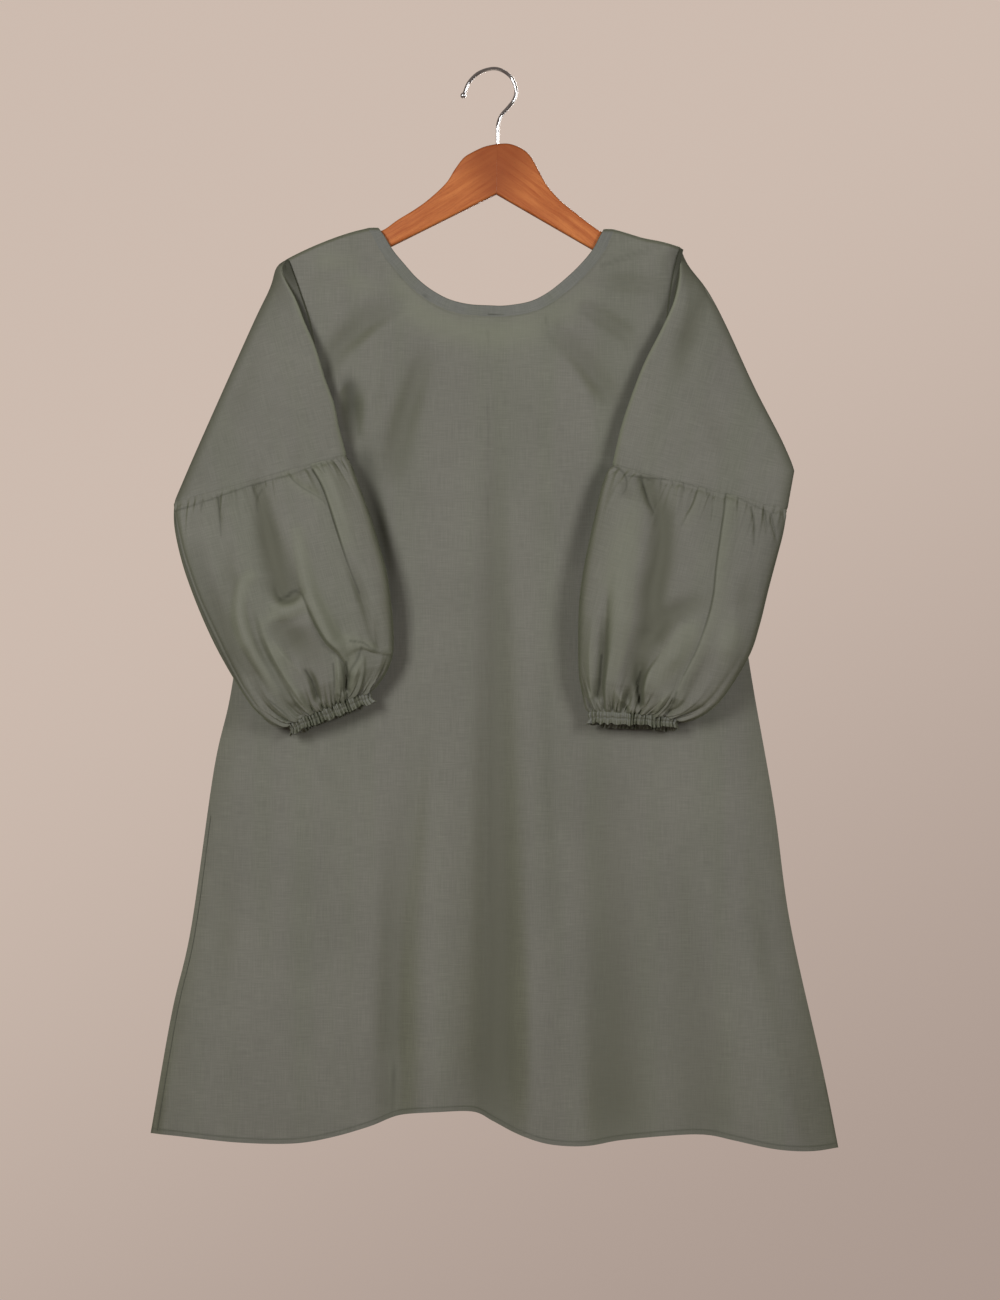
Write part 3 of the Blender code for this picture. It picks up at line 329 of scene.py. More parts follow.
# Painted shade on the puffs: fold bottoms, gathers, seam lines and the shadowed outer edges: width, strength, line
LOWER_LINES = {
    "left": [
        (1.0, 0.75, [(313, 470), (322, 486), (328.5, 503), (339, 535), (350, 568), (360, 594)]),
        (0.8, 0.35, [(289, 476), (300, 486), (318, 497), (327, 505)]),
        (0.8, 0.55, [(218, 497), (220, 514), (222, 536)]),
        (0.8, 0.35, [(203, 500), (201, 512)]),
        (0.8, 0.35, [(252, 486), (256, 498)]),
        (1.6, 0.50, [(281, 600), (288, 597), (295, 591), (304, 595)]),
        (1.4, 0.34, [(304, 595), (314, 619), (326, 640), (340, 652)]),
        (0.8, 0.42, [(174, 511), (198, 504), (217, 497.5), (248, 486.5), (267, 481), (289, 475.5), (314, 466), (326, 460)]),
        (0.7, 0.40, [(321, 463), (325, 473)]),
        (0.7, 0.40, [(326, 461), (333, 471)]),
        (0.7, 0.34, [(331, 460), (340, 470)]),
        (0.7, 0.30, [(337, 459), (345, 468)]),
        (1.1, 0.40, [(351, 641), (364, 643), (374, 650), (388, 652)]),
        (1.3, 0.45, [(362, 647), (358, 659), (351, 671), (349, 684)]),
        (1.0, 0.30, [(262, 490), (257, 500), (258, 512)]),
        (1.2, 0.55, [(306, 670), (313, 682), (318, 698)]),
        (1.2, 0.60, [(347, 662), (348, 676), (346, 690)]),
        (1.0, 0.50, [(334, 664), (335, 680), (334, 694)]),
        (0.8, 0.50, [(174, 514), (181, 547), (188, 570), (201, 605), (217, 641), (236, 678), (254, 704)]),
        (0.9, 0.35, [(270, 700), (284, 712), (292, 722)]),
        (13.0, 0.16, [(198, 556), (212, 610), (232, 662)]),
    ],
    "right": [
        (1.0, 0.65, [(641, 476), (645, 491), (649, 503), (653, 513)]),
        (0.8, 0.35, [(698, 488), (692, 505), (681, 526)]),
        (0.9, 0.55, [(726, 492), (724, 508), (720, 533), (715, 568), (712, 595), (706, 620), (695, 650), (683, 675)]),
        (1.3, 0.60, [(601, 655), (599, 680), (597, 698)]),
        (1.5, 0.65, [(640, 672), (638, 688), (639, 704)]),
        (0.8, 0.45, [(751, 507), (754, 525), (753, 545)]),
        (0.8, 0.45, [(765, 511), (767, 530)]),
        (0.8, 0.50, [(771, 514), (775, 532), (777, 545)]),
        (1.0, 0.50, [(615, 466), (623, 472), (626.5, 480), (626, 488), (623, 494)]),
        (0.8, 0.42, [(628, 476), (655, 478.5), (675, 480.5), (700, 486), (724, 492), (751, 504), (766, 511), (781, 514)]),
        (0.7, 0.40, [(661, 480), (660, 487)]),
        (0.7, 0.40, [(672, 481), (673, 488)]),
        (0.7, 0.35, [(683, 483), (684, 492)]),
        (0.7, 0.35, [(706, 488), (707, 497)]),
        (0.7, 0.35, [(738, 499), (737, 510)]),
        (14.0, 0.17, [(778, 530), (768, 580), (755, 630), (738, 672)]),
        (1.0, 0.40, [(676, 692), (672, 704), (668, 712)]),
    ],
}
CUFF_LENGTH = 12.5
CUFF_TILT = {"left": 2.0, "right": 4.5}
# Cuff rows: fraction of its length, spread of the band, height of the ruffles
CUFF_ROWS = [
    (0.0, -0.2, 0.5), (0.10, 0.5, 0.9), (0.24, 0.9, 1.2), (0.38, 0.6, 1.1), (0.5, -0.5, 0.9), (0.60, -0.8, 0.9),
    (0.72, 0.0, 1.2), (0.86, 1.0, 1.7), (1.0, 1.8, 2.0),
]

HANGER = {
    "left": [
        (-10, -80), (-23, -86), (-32, -92), (-41, -104), (-50, -118), (-67, -134), (-82, -145), (-100, -156),
        (-116, -167), (-131, -168.6), (-147, -172), (-164, -177.5), (-178, -183.5), (-188, -190), (-187, -199), (-178, -203),
        (-150, -198), (-124, -191), (-106, -183),
    ],
    "right": [
        (16, -77), (29, -82), (38, -90), (46, -104), (55, -120), (69, -136), (85, -149), (99, -160),
        (112, -168.5), (125, -170), (136, -172.8), (154, -178), (168, -181.5), (177, -187), (177, -197), (168, -202),
        (142, -200), (118, -194), (103, -187),
    ],
}
HANGER_TOP = (3.3, -77)
HANGER_APEX = (2.5, -129)
HOOK = [
    (-31, -24), (-26, -12.5), (-15.5, -2.5), (-1, 1.8), (10, -1), (19, -9), (23, -21.5), (20.5, -31), (14, -39.5),
    (7.5, -47), (4.2, -56), (3.9, -66), (3.9, -77),
]


def on_body(u, v):
    return (u - 494) * UNIT, (70.3 - v) * UNIT


def on_sleeve(u, v):
    """The sleeves lie a little nearer to the eye than the body."""
    x, z = on_body(u, v)
    return 6 + (x - 6) * 0.988, -603 + (z + 603) * 0.988


def lerp_table(value, table, column=1):
    rows = sorted(table)
    return np.interp(value, [row[0] for row in rows], [row[column] for row in rows])


def smooth_curve(points, steps=10):
    pts = np.array(points, dtype=float)
    ends = np.vstack([2 * pts[0] - pts[1], pts, 2 * pts[-1] - pts[-2]])
    dense = []
    for a, b, c, d in zip(ends[:-3], ends[1:-2], ends[2:-1], ends[3:]):
        for t in np.linspace(0, 1, steps, endpoint=False):
            dense.append(0.5 * (2 * b + (c - a) * t + (2 * a - 5 * b + 4 * c - d) * t**2 + (3 * b - a - 3 * c + d) * t**3))
    dense.append(pts[-1])
    return np.array(dense)


def along(path, fraction):
    steps = np.linalg.norm(np.diff(path, axis=0), axis=1)
    reach = np.concatenate([[0], np.cumsum(steps)])
    where = np.clip(fraction, 0, 1) * reach[-1]
    return np.stack([np.interp(where, reach, path[:, k]) for k in range(path.shape[1])], axis=-1)


def ease(t):
    t = np.clip(t, 0, 1)
    return t * t * (3 - 2 * t)


def quarter_round(t):
    t = np.clip(t, 0, 1)
    return np.sqrt(1 - (1 - t) ** 2)


def unit(vectors):
    return vectors / np.maximum(np.linalg.norm(vectors, axis=-1, keepdims=True), 1e-9)


def fold_relief(x, z, folds):
    relief = np.zeros(np.broadcast(x, z).shape)
    for x_top, z_top, x_end, z_end, width_top, width_end, height_top, height_end in folds:
        run_x, run_z = x_end - x_top, z_end - z_top
        length = math.hypot(run_x, run_z)
        t = ((x - x_top) * run_x + (z - z_top) * run_z) / length**2
        off = ((x - x_top) * run_z - (z - z_top) * run_x) / length
        ends = ease((t + 0.15) / 0.3) * ease((1.15 - t) / 0.3)
        t = np.clip(t, 0, 1)
        width = width_top + (width_end - width_top) * t
        height = height_top + (height_end - height_top) * t
        relief = relief + height * ends * np.exp(-((off / width) ** 2))
    return relief


def line_shade(x, z, lines, place):
    """Painted tone along lines: mostly painted shade in the narrow bottoms of pressed folds and seams and painted
    shadows beside the sleeves, also a few dark thread marks and painted highlights. Width and strength of each line.
    """
    shade = np.zeros(np.shape(x))
    for width, strength, line in lines:
        form = crease_relief(x, z, [("soft", width, width, strength, strength, strength * 0.5, line)], place)
        shade = np.maximum(shade, form)
    return shade


def crease_relief(x, z, creases, place):
    """Height of the finer folds: soft rolls, sharp-crested ridges, and tucks that step down on one side."""
    x, z = np.broadcast_arrays(np.asarray(x, dtype=float), np.asarray(z, dtype=float))
    relief = np.zeros(x.shape)
    for profile, width_start, width_end, high_start, high_middle, high_end, line in creases:
        path = smooth_curve([place(u, v) for u, v in line], 5)
        reach = 4 * max(width_start, width_end)
        near = (
            (x > path[:, 0].min() - reach) & (x < path[:, 0].max() + reach)
            & (z > path[:, 1].min() - reach) & (z < path[:, 1].max() + reach)
        )
        if not near.any():
            continue
        px, pz = x[near], z[near]
        steps = np.linalg.norm(np.diff(path, axis=0), axis=1)
        start = np.concatenate([[0], np.cumsum(steps)])
        distance = np.full(px.shape, 1e9)
        share, side = np.zeros(px.shape), np.ones(px.shape)
        for k in range(len(path) - 1):
            a, run = path[k], path[k + 1] - path[k]
            s = np.clip(((px - a[0]) * run[0] + (pz - a[1]) * run[1]) / (run @ run), 0, 1)
            off_x, off_z = px - a[0] - run[0] * s, pz - a[1] - run[1] * s
            d = np.hypot(off_x, off_z)
            closer = d < distance
            distance = np.where(closer, d, distance)
            share = np.where(closer, (start[k] + steps[k] * s) / start[-1], share)
            side = np.where(closer, np.sign(run[0] * off_z - run[1] * off_x), side)
        width = width_start + (width_end - width_start) * share
        height = np.interp(share, [0, 0.5, 1], [high_start, high_middle, high_end])
        off = distance / width
        if profile == "soft":
            form = np.exp(-(off**2))
        elif profile == "ridge":
            form = np.exp(-(off**1.25) * 1.2)
        else:
            step = 0.5 + 0.5 * np.tanh(side * distance / 1.1)
            form = step * np.exp(-(off**2)) - 0.25 * (1 - step) * np.exp(-((3 * off) ** 2))
        relief[near] += height * form
    return relief


# Body
SIDE_PATH = {side: np.vstack([smooth_curve(ARMHOLE[side])[:-1], smooth_curve(SIDE_SEAM[side])]) for side in ARMHOLE}
SHOULDER_PATH = {side: smooth_curve(SHOULDER[side]) for side in SHOULDER}
NECK_PATH = smooth_curve(NECK_SEAM)
HEM_PATH = smooth_curve(HEM)
SHOULDER_LINE = np.vstack([SHOULDER_PATH["left"], SHOULDER_PATH["right"][::-1]])
UNDERARM_Z = -395
ARMHOLE_SHARE = 0.23
ARMHOLE_DEPTH = 8.5
SIDE_DEPTH = CLOTH / 2 + 0.08  # the panels all but meet at the side seams
FOLD_LIFT = 1.35
CREASE_LIFT = 1.7
PUFF_LIFT = 1.25
HOLLOW_DEPTH = 10.5  # depth at which a valley has its full painted shade, mm
# Painted shade in the puffs' valleys, and painted highlight on their crests
PUFF_HOLLOW_DEPTH = 6.4
CREST_LIGHT = 0.32
HEM_DEPTH = 5.0  # turned-up hem, mm
HEM_STEP = 0.45  # how much the turned-up hem stands out, mm
# Painted shade over the turned-up hem and along its stitch line
HEM_SHADE = 0.10
HEM_LINE_SHADE = 0.34
SIDE_TURN = [(-395, 1.5), (-700, 3.5), (-850, 5.0), (-1060, 6.8), (-1104, 7.2)]  # how far the left seam shows inside the edge
FACES = {-1: (FRONT_FOLDS, FRONT_CREASES), 1: (BACK_FOLDS, BACK_CREASES)}


def side_x(side, z):
    path = SIDE_PATH[side]
    return np.interp(-np.asarray(z, dtype=float), -path[:, 1], path[:, 0])


def edge_distance(x, z):
    return np.minimum(x - side_x("left", z), side_x("right", z) - x)


def body_relief(x, z, facing):
    folds, creases = FACES[facing]
    distance = np.maximum(edge_distance(x, z), 0)
    relief = FOLD_LIFT * fold_relief(x, z, folds) * ease(distance / 45)
    return relief + CREASE_LIFT * crease_relief(x, z, creases, on_body) * ease(distance / 12)


def body_depth(x, z, facing):
    distance = np.maximum(edge_distance(x, z), 0)
    at_armhole = ease((z - UNDERARM_Z) / 60)
    seam = SIDE_DEPTH + (ARMHOLE_DEPTH - SIDE_DEPTH) * at_armhole
    rounding = SIDE_ROUNDING - (SIDE_ROUNDING - 30) * at_armhole
    full = lerp_table(z, BODY_DEPTH)
    opened = 1 - (1 - np.clip(distance / rounding, 0, 1)) ** 2
    relief = body_relief(x, z, facing)
    above_hem = z - np.interp(x, HEM_PATH[:, 0], HEM_PATH[:, 1])
    relief = relief + HEM_STEP * (1 - ease((above_hem - HEM_DEPTH + 0.6) / 1.2))
    depth = seam + (full - seam) * opened + relief
    drop = np.interp(x, SHOULDER_LINE[:, 0], SHOULDER_LINE[:, 1]) - z
    return SEAM_GAP / 2 + (depth - SEAM_GAP / 2) * quarter_round(drop / SHOULDER_ROUNDING)


def body_point(x, z, facing):
    return np.stack([x, facing * body_depth(x, z, facing), z], axis=-1)


def body_normal(x, z, facing):
    step = 0.5
    slope_x = (body_depth(x + step, z, facing) - body_depth(x - step, z, facing)) / (2 * step)
    slope_z = (body_depth(x, z + step, facing) - body_depth(x, z - step, facing)) / (2 * step)
    at_side = (edge_distance(x, z) < 1.0) & (z < UNDERARM_Z + 2)
    slope_x = np.where(at_side, 0, slope_x)
    slope_z = np.where(at_side, 0, slope_z)
    normal = unit(np.stack([-slope_x, np.full(np.shape(x), float(facing)), -slope_z], axis=-1))
    drop = np.interp(x, SHOULDER_LINE[:, 0], SHOULDER_LINE[:, 1]) - z
    normal[drop < 0.3] = (0.0, 0.0, 1.0)
    return normal


def new_object(name, vertices, faces, material, weave=None, shade=None, hollow=None):
    """A mesh object in metres. weave gives each vertex its place in the flat cloth, in metres."""
    mesh = bpy.data.meshes.new(name)
    mesh.from_pydata((np.array(vertices) * MM).tolist(), [], [tuple(int(k) for k in f) for f in faces])
    if weave is not None:
        layer = mesh.uv_layers.new(name="weave")
        index = np.zeros(len(mesh.loops), dtype=np.int32)
        mesh.loops.foreach_get("vertex_index", index)
        layer.data.foreach_set("uv", np.array(weave)[index].astype(np.float32).ravel())
    for label, values in (("shade", shade), ("hollow", hollow)):
        if values is not None:
            mesh.attributes.new(label, "FLOAT", "POINT").data.foreach_set("value", np.array(values).astype(np.float32))
    work = bmesh.new()
    work.from_mesh(mesh)
    bmesh.ops.recalc_face_normals(work, faces=work.faces[:])
    work.to_mesh(mesh)
    work.free()
    mesh.materials.append(material)
    mesh.shade_smooth()
    mesh.set_sharp_from_angle(angle=math.radians(60))
    obj = bpy.data.objects.new(name, mesh)
    bpy.context.collection.objects.link(obj)
    return obj


def cloth_solid(name, middle, faces, normals, wall, material, weave, shade=None, hollow=None):
    """A closed wall of cloth about a sheet."""
    count = len(middle)
    wall = np.broadcast_to(np.asarray(wall, dtype=float), (count,))[:, None]
    vertices = np.vstack([middle + normals * wall / 2, middle - normals * wall / 2])
    solid = list(faces) + [tuple(count + k for k in reversed(face)) for face in faces]
    edges = {}
    for face in faces:
        for a, b in zip(face, face[1:] + face[:1]):
            if (b, a) in edges:
                edges[(b, a)] = False
                edges[(a, b)] = False
            else:
                edges[(a, b)] = True
    for (a, b), is_rim in edges.items():
        if is_rim:
            solid.append((b, a, count + a, count + b))
    tones = [np.zeros(count) if tone is None else np.ravel(tone) for tone in (shade, hollow)]
    return new_object(name, vertices, solid, material, np.vstack([weave, weave]), *(np.concatenate([t, t]) for t in tones))


def grid_faces(rows, columns, closed_round):
    faces = []
    for r in range(rows - 1):
        for c in range(columns if closed_round else columns - 1):
            a, b = r * columns + c, r * columns + (c + 1) % columns
            faces.append((a, b, b + columns, a + columns))
    return faces


def cloth_wall(name, middle, normals, wall, closed_round, material, weave, shade=None, hollow=None):
    rows, columns = middle.shape[:2]
    faces = grid_faces(rows, columns, closed_round)
    return cloth_solid(
        name, middle.reshape(-1, 3), faces, normals.reshape(-1, 3), wall, material, weave.reshape(-1, 2), shade, hollow
    )


def grid_directions(grid, closed_round, like):
    """Directions square to a grid of points, on the same side as like."""
    if closed_round:
        across = np.roll(grid, -1, axis=1) - np.roll(grid, 1, axis=1)
    else:
        across = np.gradient(grid, axis=1)
    normals = unit(np.cross(across, np.gradient(grid, axis=0)))
    return -normals if np.sum(normals * like) < 0 else normals


# Panels
SHOULDER_ROWS = [0, 0.002, 0.006, 0.012, 0.02, 0.03, 0.045]
ARMHOLE_ROWS = np.concatenate([SHOULDER_ROWS, np.linspace(0.065, 1, 52)])
NECK_ENDS = np.array([0, 0.0015, 0.004, 0.008, 0.014, 0.024, 0.04])


def neck_shares(count):
    return np.concatenate([NECK_ENDS, np.linspace(0.06, 0.94, count), 1 - NECK_ENDS[::-1]])


def panel_grid(neck_count, shoulder_count, side_count):
    side_rows = np.concatenate([np.linspace(0, 1, side_count)[1:-3], [0.988, 0.9905, 0.9918, 0.9927, 0.9936, 0.9948, 0.997, 1.0]])
    shoulder = np.linspace(0, 1, shoulder_count + 1)
    neck = neck_shares(neck_count)
    top = np.vstack([
        along(SHOULDER_PATH["left"], shoulder)[:-1],
        along(NECK_PATH, neck),
        along(SHOULDER_PATH["right"], 1 - shoulder)[1:],
    ])
    u = np.concatenate([0.2 * shoulder[:-1] ** 1.2, 0.2 + 0.63 * neck, 0.83 + 0.17 * (1 - (1 - shoulder) ** 1.2)[1:]])
    hem = along(HEM_PATH, u)
    sides = {}
    for side in ("left", "right"):
        armhole = along(smooth_curve(ARMHOLE[side]), ARMHOLE_ROWS)
        sides[side] = np.vstack([armhole, along(smooth_curve(SIDE_SEAM[side]), side_rows)])
    v = np.concatenate([ARMHOLE_ROWS * ARMHOLE_SHARE, ARMHOLE_SHARE + side_rows * (1 - ARMHOLE_SHARE)])
    u, v = u[None, :, None], v[:, None, None]
    ruled_down = (1 - v) * top[None] + v * hem[None]
    ruled_across = (1 - u) * sides["left"][:, None] + u * sides["right"][:, None]
    corners = (1 - v) * ((1 - u) * top[0] + u * top[-1]) + v * ((1 - u) * hem[0] + u * hem[-1])
    return ruled_down + ruled_across - corners


def make_panel(name, facing, counts, material):
    grid = panel_grid(*counts)
    x, z = grid[..., 0], grid[..., 1]
    weave = np.stack([x, z], axis=-1) * MM
    # Painted shade: fold and seam lines, shadows beside the sleeves, and the hem's band and stitch line
    shade = line_shade(x, z, FRONT_LINES if facing < 0 else BACK_LINES, on_body)
    above_hem = z - np.interp(x, HEM_PATH[:, 0], HEM_PATH[:, 1])
    shade = np.maximum(shade, HEM_LINE_SHADE * np.exp(-(((above_hem - HEM_DEPTH) / 0.8) ** 2)))
    shade = np.maximum(shade, HEM_SHADE * (1 - ease((above_hem - HEM_DEPTH) / 0.8)))
    # Painted shade in the valleys; on the front, painted highlight below the neck and at the left shoulder
    hollow = np.clip(-body_relief(x, z, facing) / HOLLOW_DEPTH, 0, 1)
    if facing < 0:
        hollow = hollow - line_shade(x, z, FRONT_LIGHTS, on_body)
    return cloth_wall(name, body_point(x, z, facing), body_normal(x, z, facing), CLOTH, False, material, weave, shade, hollow)


def make_binding(name, facing, material):
    """Bias strip folded over the neck's edge, a little fuller than the panel and puckered along its seam."""
    share = neck_shares(170)
    seam = along(NECK_PATH, share)
    tangent = unit(np.gradient(seam, axis=0))
    drop = np.interp(seam[:, 0], SHOULDER_LINE[:, 0], SHOULDER_LINE[:, 1]) - seam[:, 1]
    inward = unit(np.stack([-tangent[:, 1], tangent[:, 0] * ease(drop / BINDING_LEVELLING)], axis=-1))
    length = np.concatenate([[0], np.cumsum(np.linalg.norm(np.diff(seam, axis=0), axis=1))])
    reaches = [0.0, 0.4, 1.0, 2.0, 3.6, 5.6, 7.6, 9.4, 10.6, 11.2, BINDING_WIDTH]
    swell = [0.38, 0.50, 0.60, 0.74, 0.86, 0.92, 0.92, 0.88, 0.80, 0.64, 0.4]
    pucker = 0.14 * np.sin(length / 1.9) + 0.12 * np.sin(length / 3.1 + 1.0) + 0.1 * np.sin(length / 5.3 + 2.0)
    grid = np.array([seam + inward * (reach - 0.5) for reach in reaches])
    x, z = grid[..., 0], grid[..., 1]
    middle = body_point(x, z, facing)
    normals = body_normal(x, z, facing)
    fade = np.array([1.0, 1.0, 0.9, 0.7, 0.4, 0.2, 0.1, 0.1, 0.2, 0.3, 0.3])[:, None] * ease(drop / 12)
    middle = middle + normals * (pucker * fade)[..., None]
    wall = (BINDING_CLOTH * np.array(swell))[:, None] * np.ones(len(seam))
    weave = np.stack([np.broadcast_to(length, x.shape), np.broadcast_to(np.array(reaches)[:, None], x.shape)], axis=-1) * MM
    shade = line_shade(x, z, BINDING_LINES, on_body) if facing < 0 else np.zeros(x.shape)
    # Painted shade along the inner edge, where the binding turns away
    shade[-2:] = NECK_EDGE_SHADE
    return cloth_wall(name, middle, normals, wall.ravel(), False, material, weave, shade)


# Sleeves
def clear_of_front(points, margin=6.0):
    x, y, z = points[..., 0], points[..., 1], points[..., 2]
    inside = edge_distance(x, z)
    limit = -body_depth(x, z, -1) - SHEET_CLEARANCE
    limit = limit + 40 * ease((-inside - margin) / 12)
    points[..., 1] = np.minimum(y, limit)
    return points


def oval_points(start, end, middle_y, front, back, angle):
    flat = start + (end - start) * ((1 - np.cos(angle)) / 2)[:, None]
    lift = np.sin(angle)
    depth = np.where(lift > 0, -front, back) * np.abs(lift) ** FLATNESS
    return np.stack([flat[:, 0], middle_y + depth, flat[:, 1]], axis=-1)


def oval_ring(start, end, middle_y, front, back, columns):
    dense = oval_points(start, end, middle_y, front, back, np.linspace(0, 2 * math.pi, 721))
    return along(dense, np.arange(columns) / columns)


def finer_front_ring(start, end, middle_y, front, back):
    """A ring whose front half, which shows most, has more points than its back."""
    angles = np.linspace(0, math.pi, 361)
    facing = along(oval_points(start, end, middle_y, front, back, angles), np.arange(LOWER_FRONT_COLUMNS) / LOWER_FRONT_COLUMNS)
    behind = along(
        oval_points(start, end, middle_y, front, back, math.pi + angles), np.arange(LOWER_BACK_COLUMNS) / LOWER_BACK_COLUMNS
    )
    return np.vstack([facing, behind])


def oval_directions(ring):
    tangent = unit(np.roll(ring, -1, axis=0) - np.roll(ring, 1, axis=0))
    middle = ring.mean(axis=0)
    across = ring[np.argmax(ring[:, 0])] - ring[np.argmin(ring[:, 0])]
    axis = unit(np.cross(across, np.array([0.0, 1.0, 0.0])))
    normals = unit(np.cross(tangent, axis))
    return -normals if np.sum((ring - middle) * normals) < 0 else normals


def sheet_directions(points, faces):
    faces4 = np.array([face if len(face) == 4 else (*face, face[0]) for face in faces])
    quad = np.array([len(face) == 4 for face in faces])
    a, b, c, d = (points[faces4[:, k]] for k in range(4))
    across = np.where(quad[:, None], np.cross(c - a, d - b), np.cross(b - a, c - a))
    normals = np.zeros_like(points)
    for k in range(4):
        use = slice(None) if k < 3 else quad
        np.add.at(normals, faces4[use, k], across[use])
    return unit(normals)


def sleeve_weave(points, side):
    """Places in the flat cloth of a sleeve, whose grain runs down the sleeve."""
    start, end = np.array(LOWER_OUTER[side][0]), np.array(LOWER_INNER[side][0])
    run = unit(end - start)
    x, z = points[..., 0] - start[0], points[..., 2] - start[1]
    across = x * run[0] + z * run[1]
    down = x * -run[1] + z * run[0]
    return np.stack([across, down + 0.2 * points[..., 1]], axis=-1) * MM


def upper_sleeve_sheet(side):
    """Points, faces and outward directions of the upper sleeve between its open and sewn edges, with its painted shade
    and painted tones.
    """
    sign = 1 if side == "left" else -1
    armhole_path = smooth_curve(ARMHOLE[side])
    shares = np.array(ARMHOLE_ROWS)
    armhole = along(armhole_path, shares)
    tangent = unit(np.gradient(armhole, axis=0))
    away = unit(np.stack([tangent[:, 1], np.zeros(len(tangent)), -tangent[:, 0]], axis=-1)) * sign
    outer, inner = smooth_curve(UPPER_OUTER[side]), smooth_curve(UPPER_INNER[side])
    seams = {facing: body_point(armhole[:, 0], armhole[:, 1], facing) for facing in (-1, 1)}

    def seam_point(fraction, facing, reach):
        place = [np.interp(fraction, shares, seams[facing][:, k]) for k in range(3)]
        turn = [np.interp(fraction, shares, away[:, k]) for k in range(3)]
        return np.array(place) + unit(np.array(turn)) * reach

    edge_gap = SEAM_TUCK
    outwards = np.array([-sign, 1, 1])
    corner = (seam_point(1, -1, 0) + seam_point(1, 1, 0)) / 2 + outwards * UNDERARM_CORNER
    rows = []
    for w in UPPER_ROWS:
        down = w / UPPER_ROWS[-1]
        o, f = along(outer, w), along(inner, w)
        angle = math.pi * np.arange(UPPER_FRONT_SPANS + 1) / UPPER_FRONT_SPANS
        front = o + (f - o) * ((1 - np.cos(angle)) / 2)[:, None]
        front[:, 1] -= lerp_table(w, UPPER_FULLNESS) * np.abs(np.sin(angle)) ** FLATNESS
        sewn = corner if down == 1 else seam_point(down, -1, edge_gap)
        turned = seam_point(down, -1, SEAM_TURN) - np.array([0, SEAM_TURN, 0])
        under_path = smooth_curve([f, f + (turned - f) * 0.5, turned, sewn], 8)
        t = np.linspace(0, 1, UPPER_UNDER_SPANS + 1)[1:]
        under = along(under_path, t)
        flat = np.linalg.norm(under[:, [0, 2]] - f[[0, 2]], axis=1) / max(np.linalg.norm((turned - f)[[0, 2]]), 1e-6)
        lifted = turned[1] + (f[1] - turned[1]) * (1 - np.clip(flat, 0, 1)) ** 2.5
        under[:, 1] = np.where(t < 0.9, np.minimum(lifted, under[:, 1] + 6), under[:, 1])
        cleared = clear_of_front(under.copy())
        near_seam = ease((t - 0.86) / 0.14)[:, None]
        under = cleared + (under - cleared) * near_seam
        sewn_back = corner if down == 1 else seam_point(down, 1, edge_gap)
        stand = seam_point(down, 1, SEAM_TURN + BACK_PUFF * math.sin(math.pi * down))
        back = along(smooth_curve([sewn_back, stand + (o - stand) * 0.12, o]), np.linspace(0, 1, UPPER_BACK_SPANS + 1))
        rows.append((np.vstack([front, under]), back[:-1]))
    elbow = oval_points(
        outer[-1][[0, 2]], inner[-1][[0, 2]], *ELBOW_SECTION,
        math.pi * np.arange(2 * UPPER_FRONT_SPANS) / UPPER_FRONT_SPANS,
    )
    underarm_front, underarm_back = rows[-1]
    split = len(underarm_front)
    for t in ELBOW_ROWS:
        front = underarm_front + (elbow[:split] - underarm_front) * t
        back = underarm_back + (elbow[split - 1:] - underarm_back) * t
        front[UPPER_FRONT_SPANS + 1:] = clear_of_front(front[UPPER_FRONT_SPANS + 1:])
        if t <= UNDERARM_STEP_SHARE:
            front[-1] = corner + outwards * UNDERARM_STEP * (t / UNDERARM_STEP_SHARE)
        rows.append((front, clear_of_front(back)))

    points = [outer[0] + away[0] * edge_gap]
    chains = []
    for k, (front, back) in enumerate(rows):
        front_ids = list(range(len(points), len(points) + len(front)))
        points += list(front)
        closed = k >= len(UPPER_ROWS) - 1
        back = back[1:] if closed else back
        back_ids = list(range(len(points), len(points) + len(back)))
        points += list(back)
        chains.append((front_ids, ([front_ids[-1]] if closed else []) + back_ids + [front_ids[0]]))
    faces = []
    for chain in chains[0]:
        faces += [(0, b, a) for a, b in zip(chain, chain[1:])]
    for above, below in zip(chains, chains[1:]):
        for upper, lower in zip(above, below):
            faces += [(a, b, d, c) for a, b, c, d in zip(upper, upper[1:], lower, lower[1:])]
    if side == "left":
        faces = [tuple(reversed(face)) for face in faces]
    points = np.array(points)
    normals = sheet_directions(points, faces)
    front_layer = np.zeros(len(points))
    for front_ids, _ in chains:
        k = np.arange(UPPER_FRONT_SPANS + 1) / UPPER_FRONT_SPANS
        front_layer[front_ids[: UPPER_FRONT_SPANS + 1]] = ease(k / 0.06) * ease((1 - k) / 0.06)
    creases = crease_relief(points[:, 0], points[:, 2], UPPER_CREASES[side], on_sleeve) * front_layer
    relief = creases.copy()
    draw = np.random.default_rng(5 if side == "left" else 6)
    for chain, t in zip(chains[len(UPPER_ROWS):], ELBOW_ROWS):
        ring = chain[0] + chain[1][1:-1]
        to_seam = (1 - t) * ELBOW_LENGTH
        relief[ring] -= SEAM_DIP * math.exp(-((to_seam / SEAM_DIP_REACH) ** 2))
    last = chains[-1][0] + chains[-1][1][1:-1]
    pucker = np.convolve(draw.normal(0, 1, len(last)), [0.25, 0.5, 0.25], mode="same")
    for chain, t in zip(chains[len(UPPER_ROWS):], ELBOW_ROWS):
        ring = chain[0] + chain[1][1:-1]
        relief[ring] += 0.45 * pucker * math.exp(-(((1 - t) * ELBOW_LENGTH / 7) ** 1.5))
    points = points + normals * relief[:, None]
    normals = sheet_directions(points, faces)
    normals[last] = oval_directions(points[last])
    normals[0] = (0.0, 0.0, 1.0)
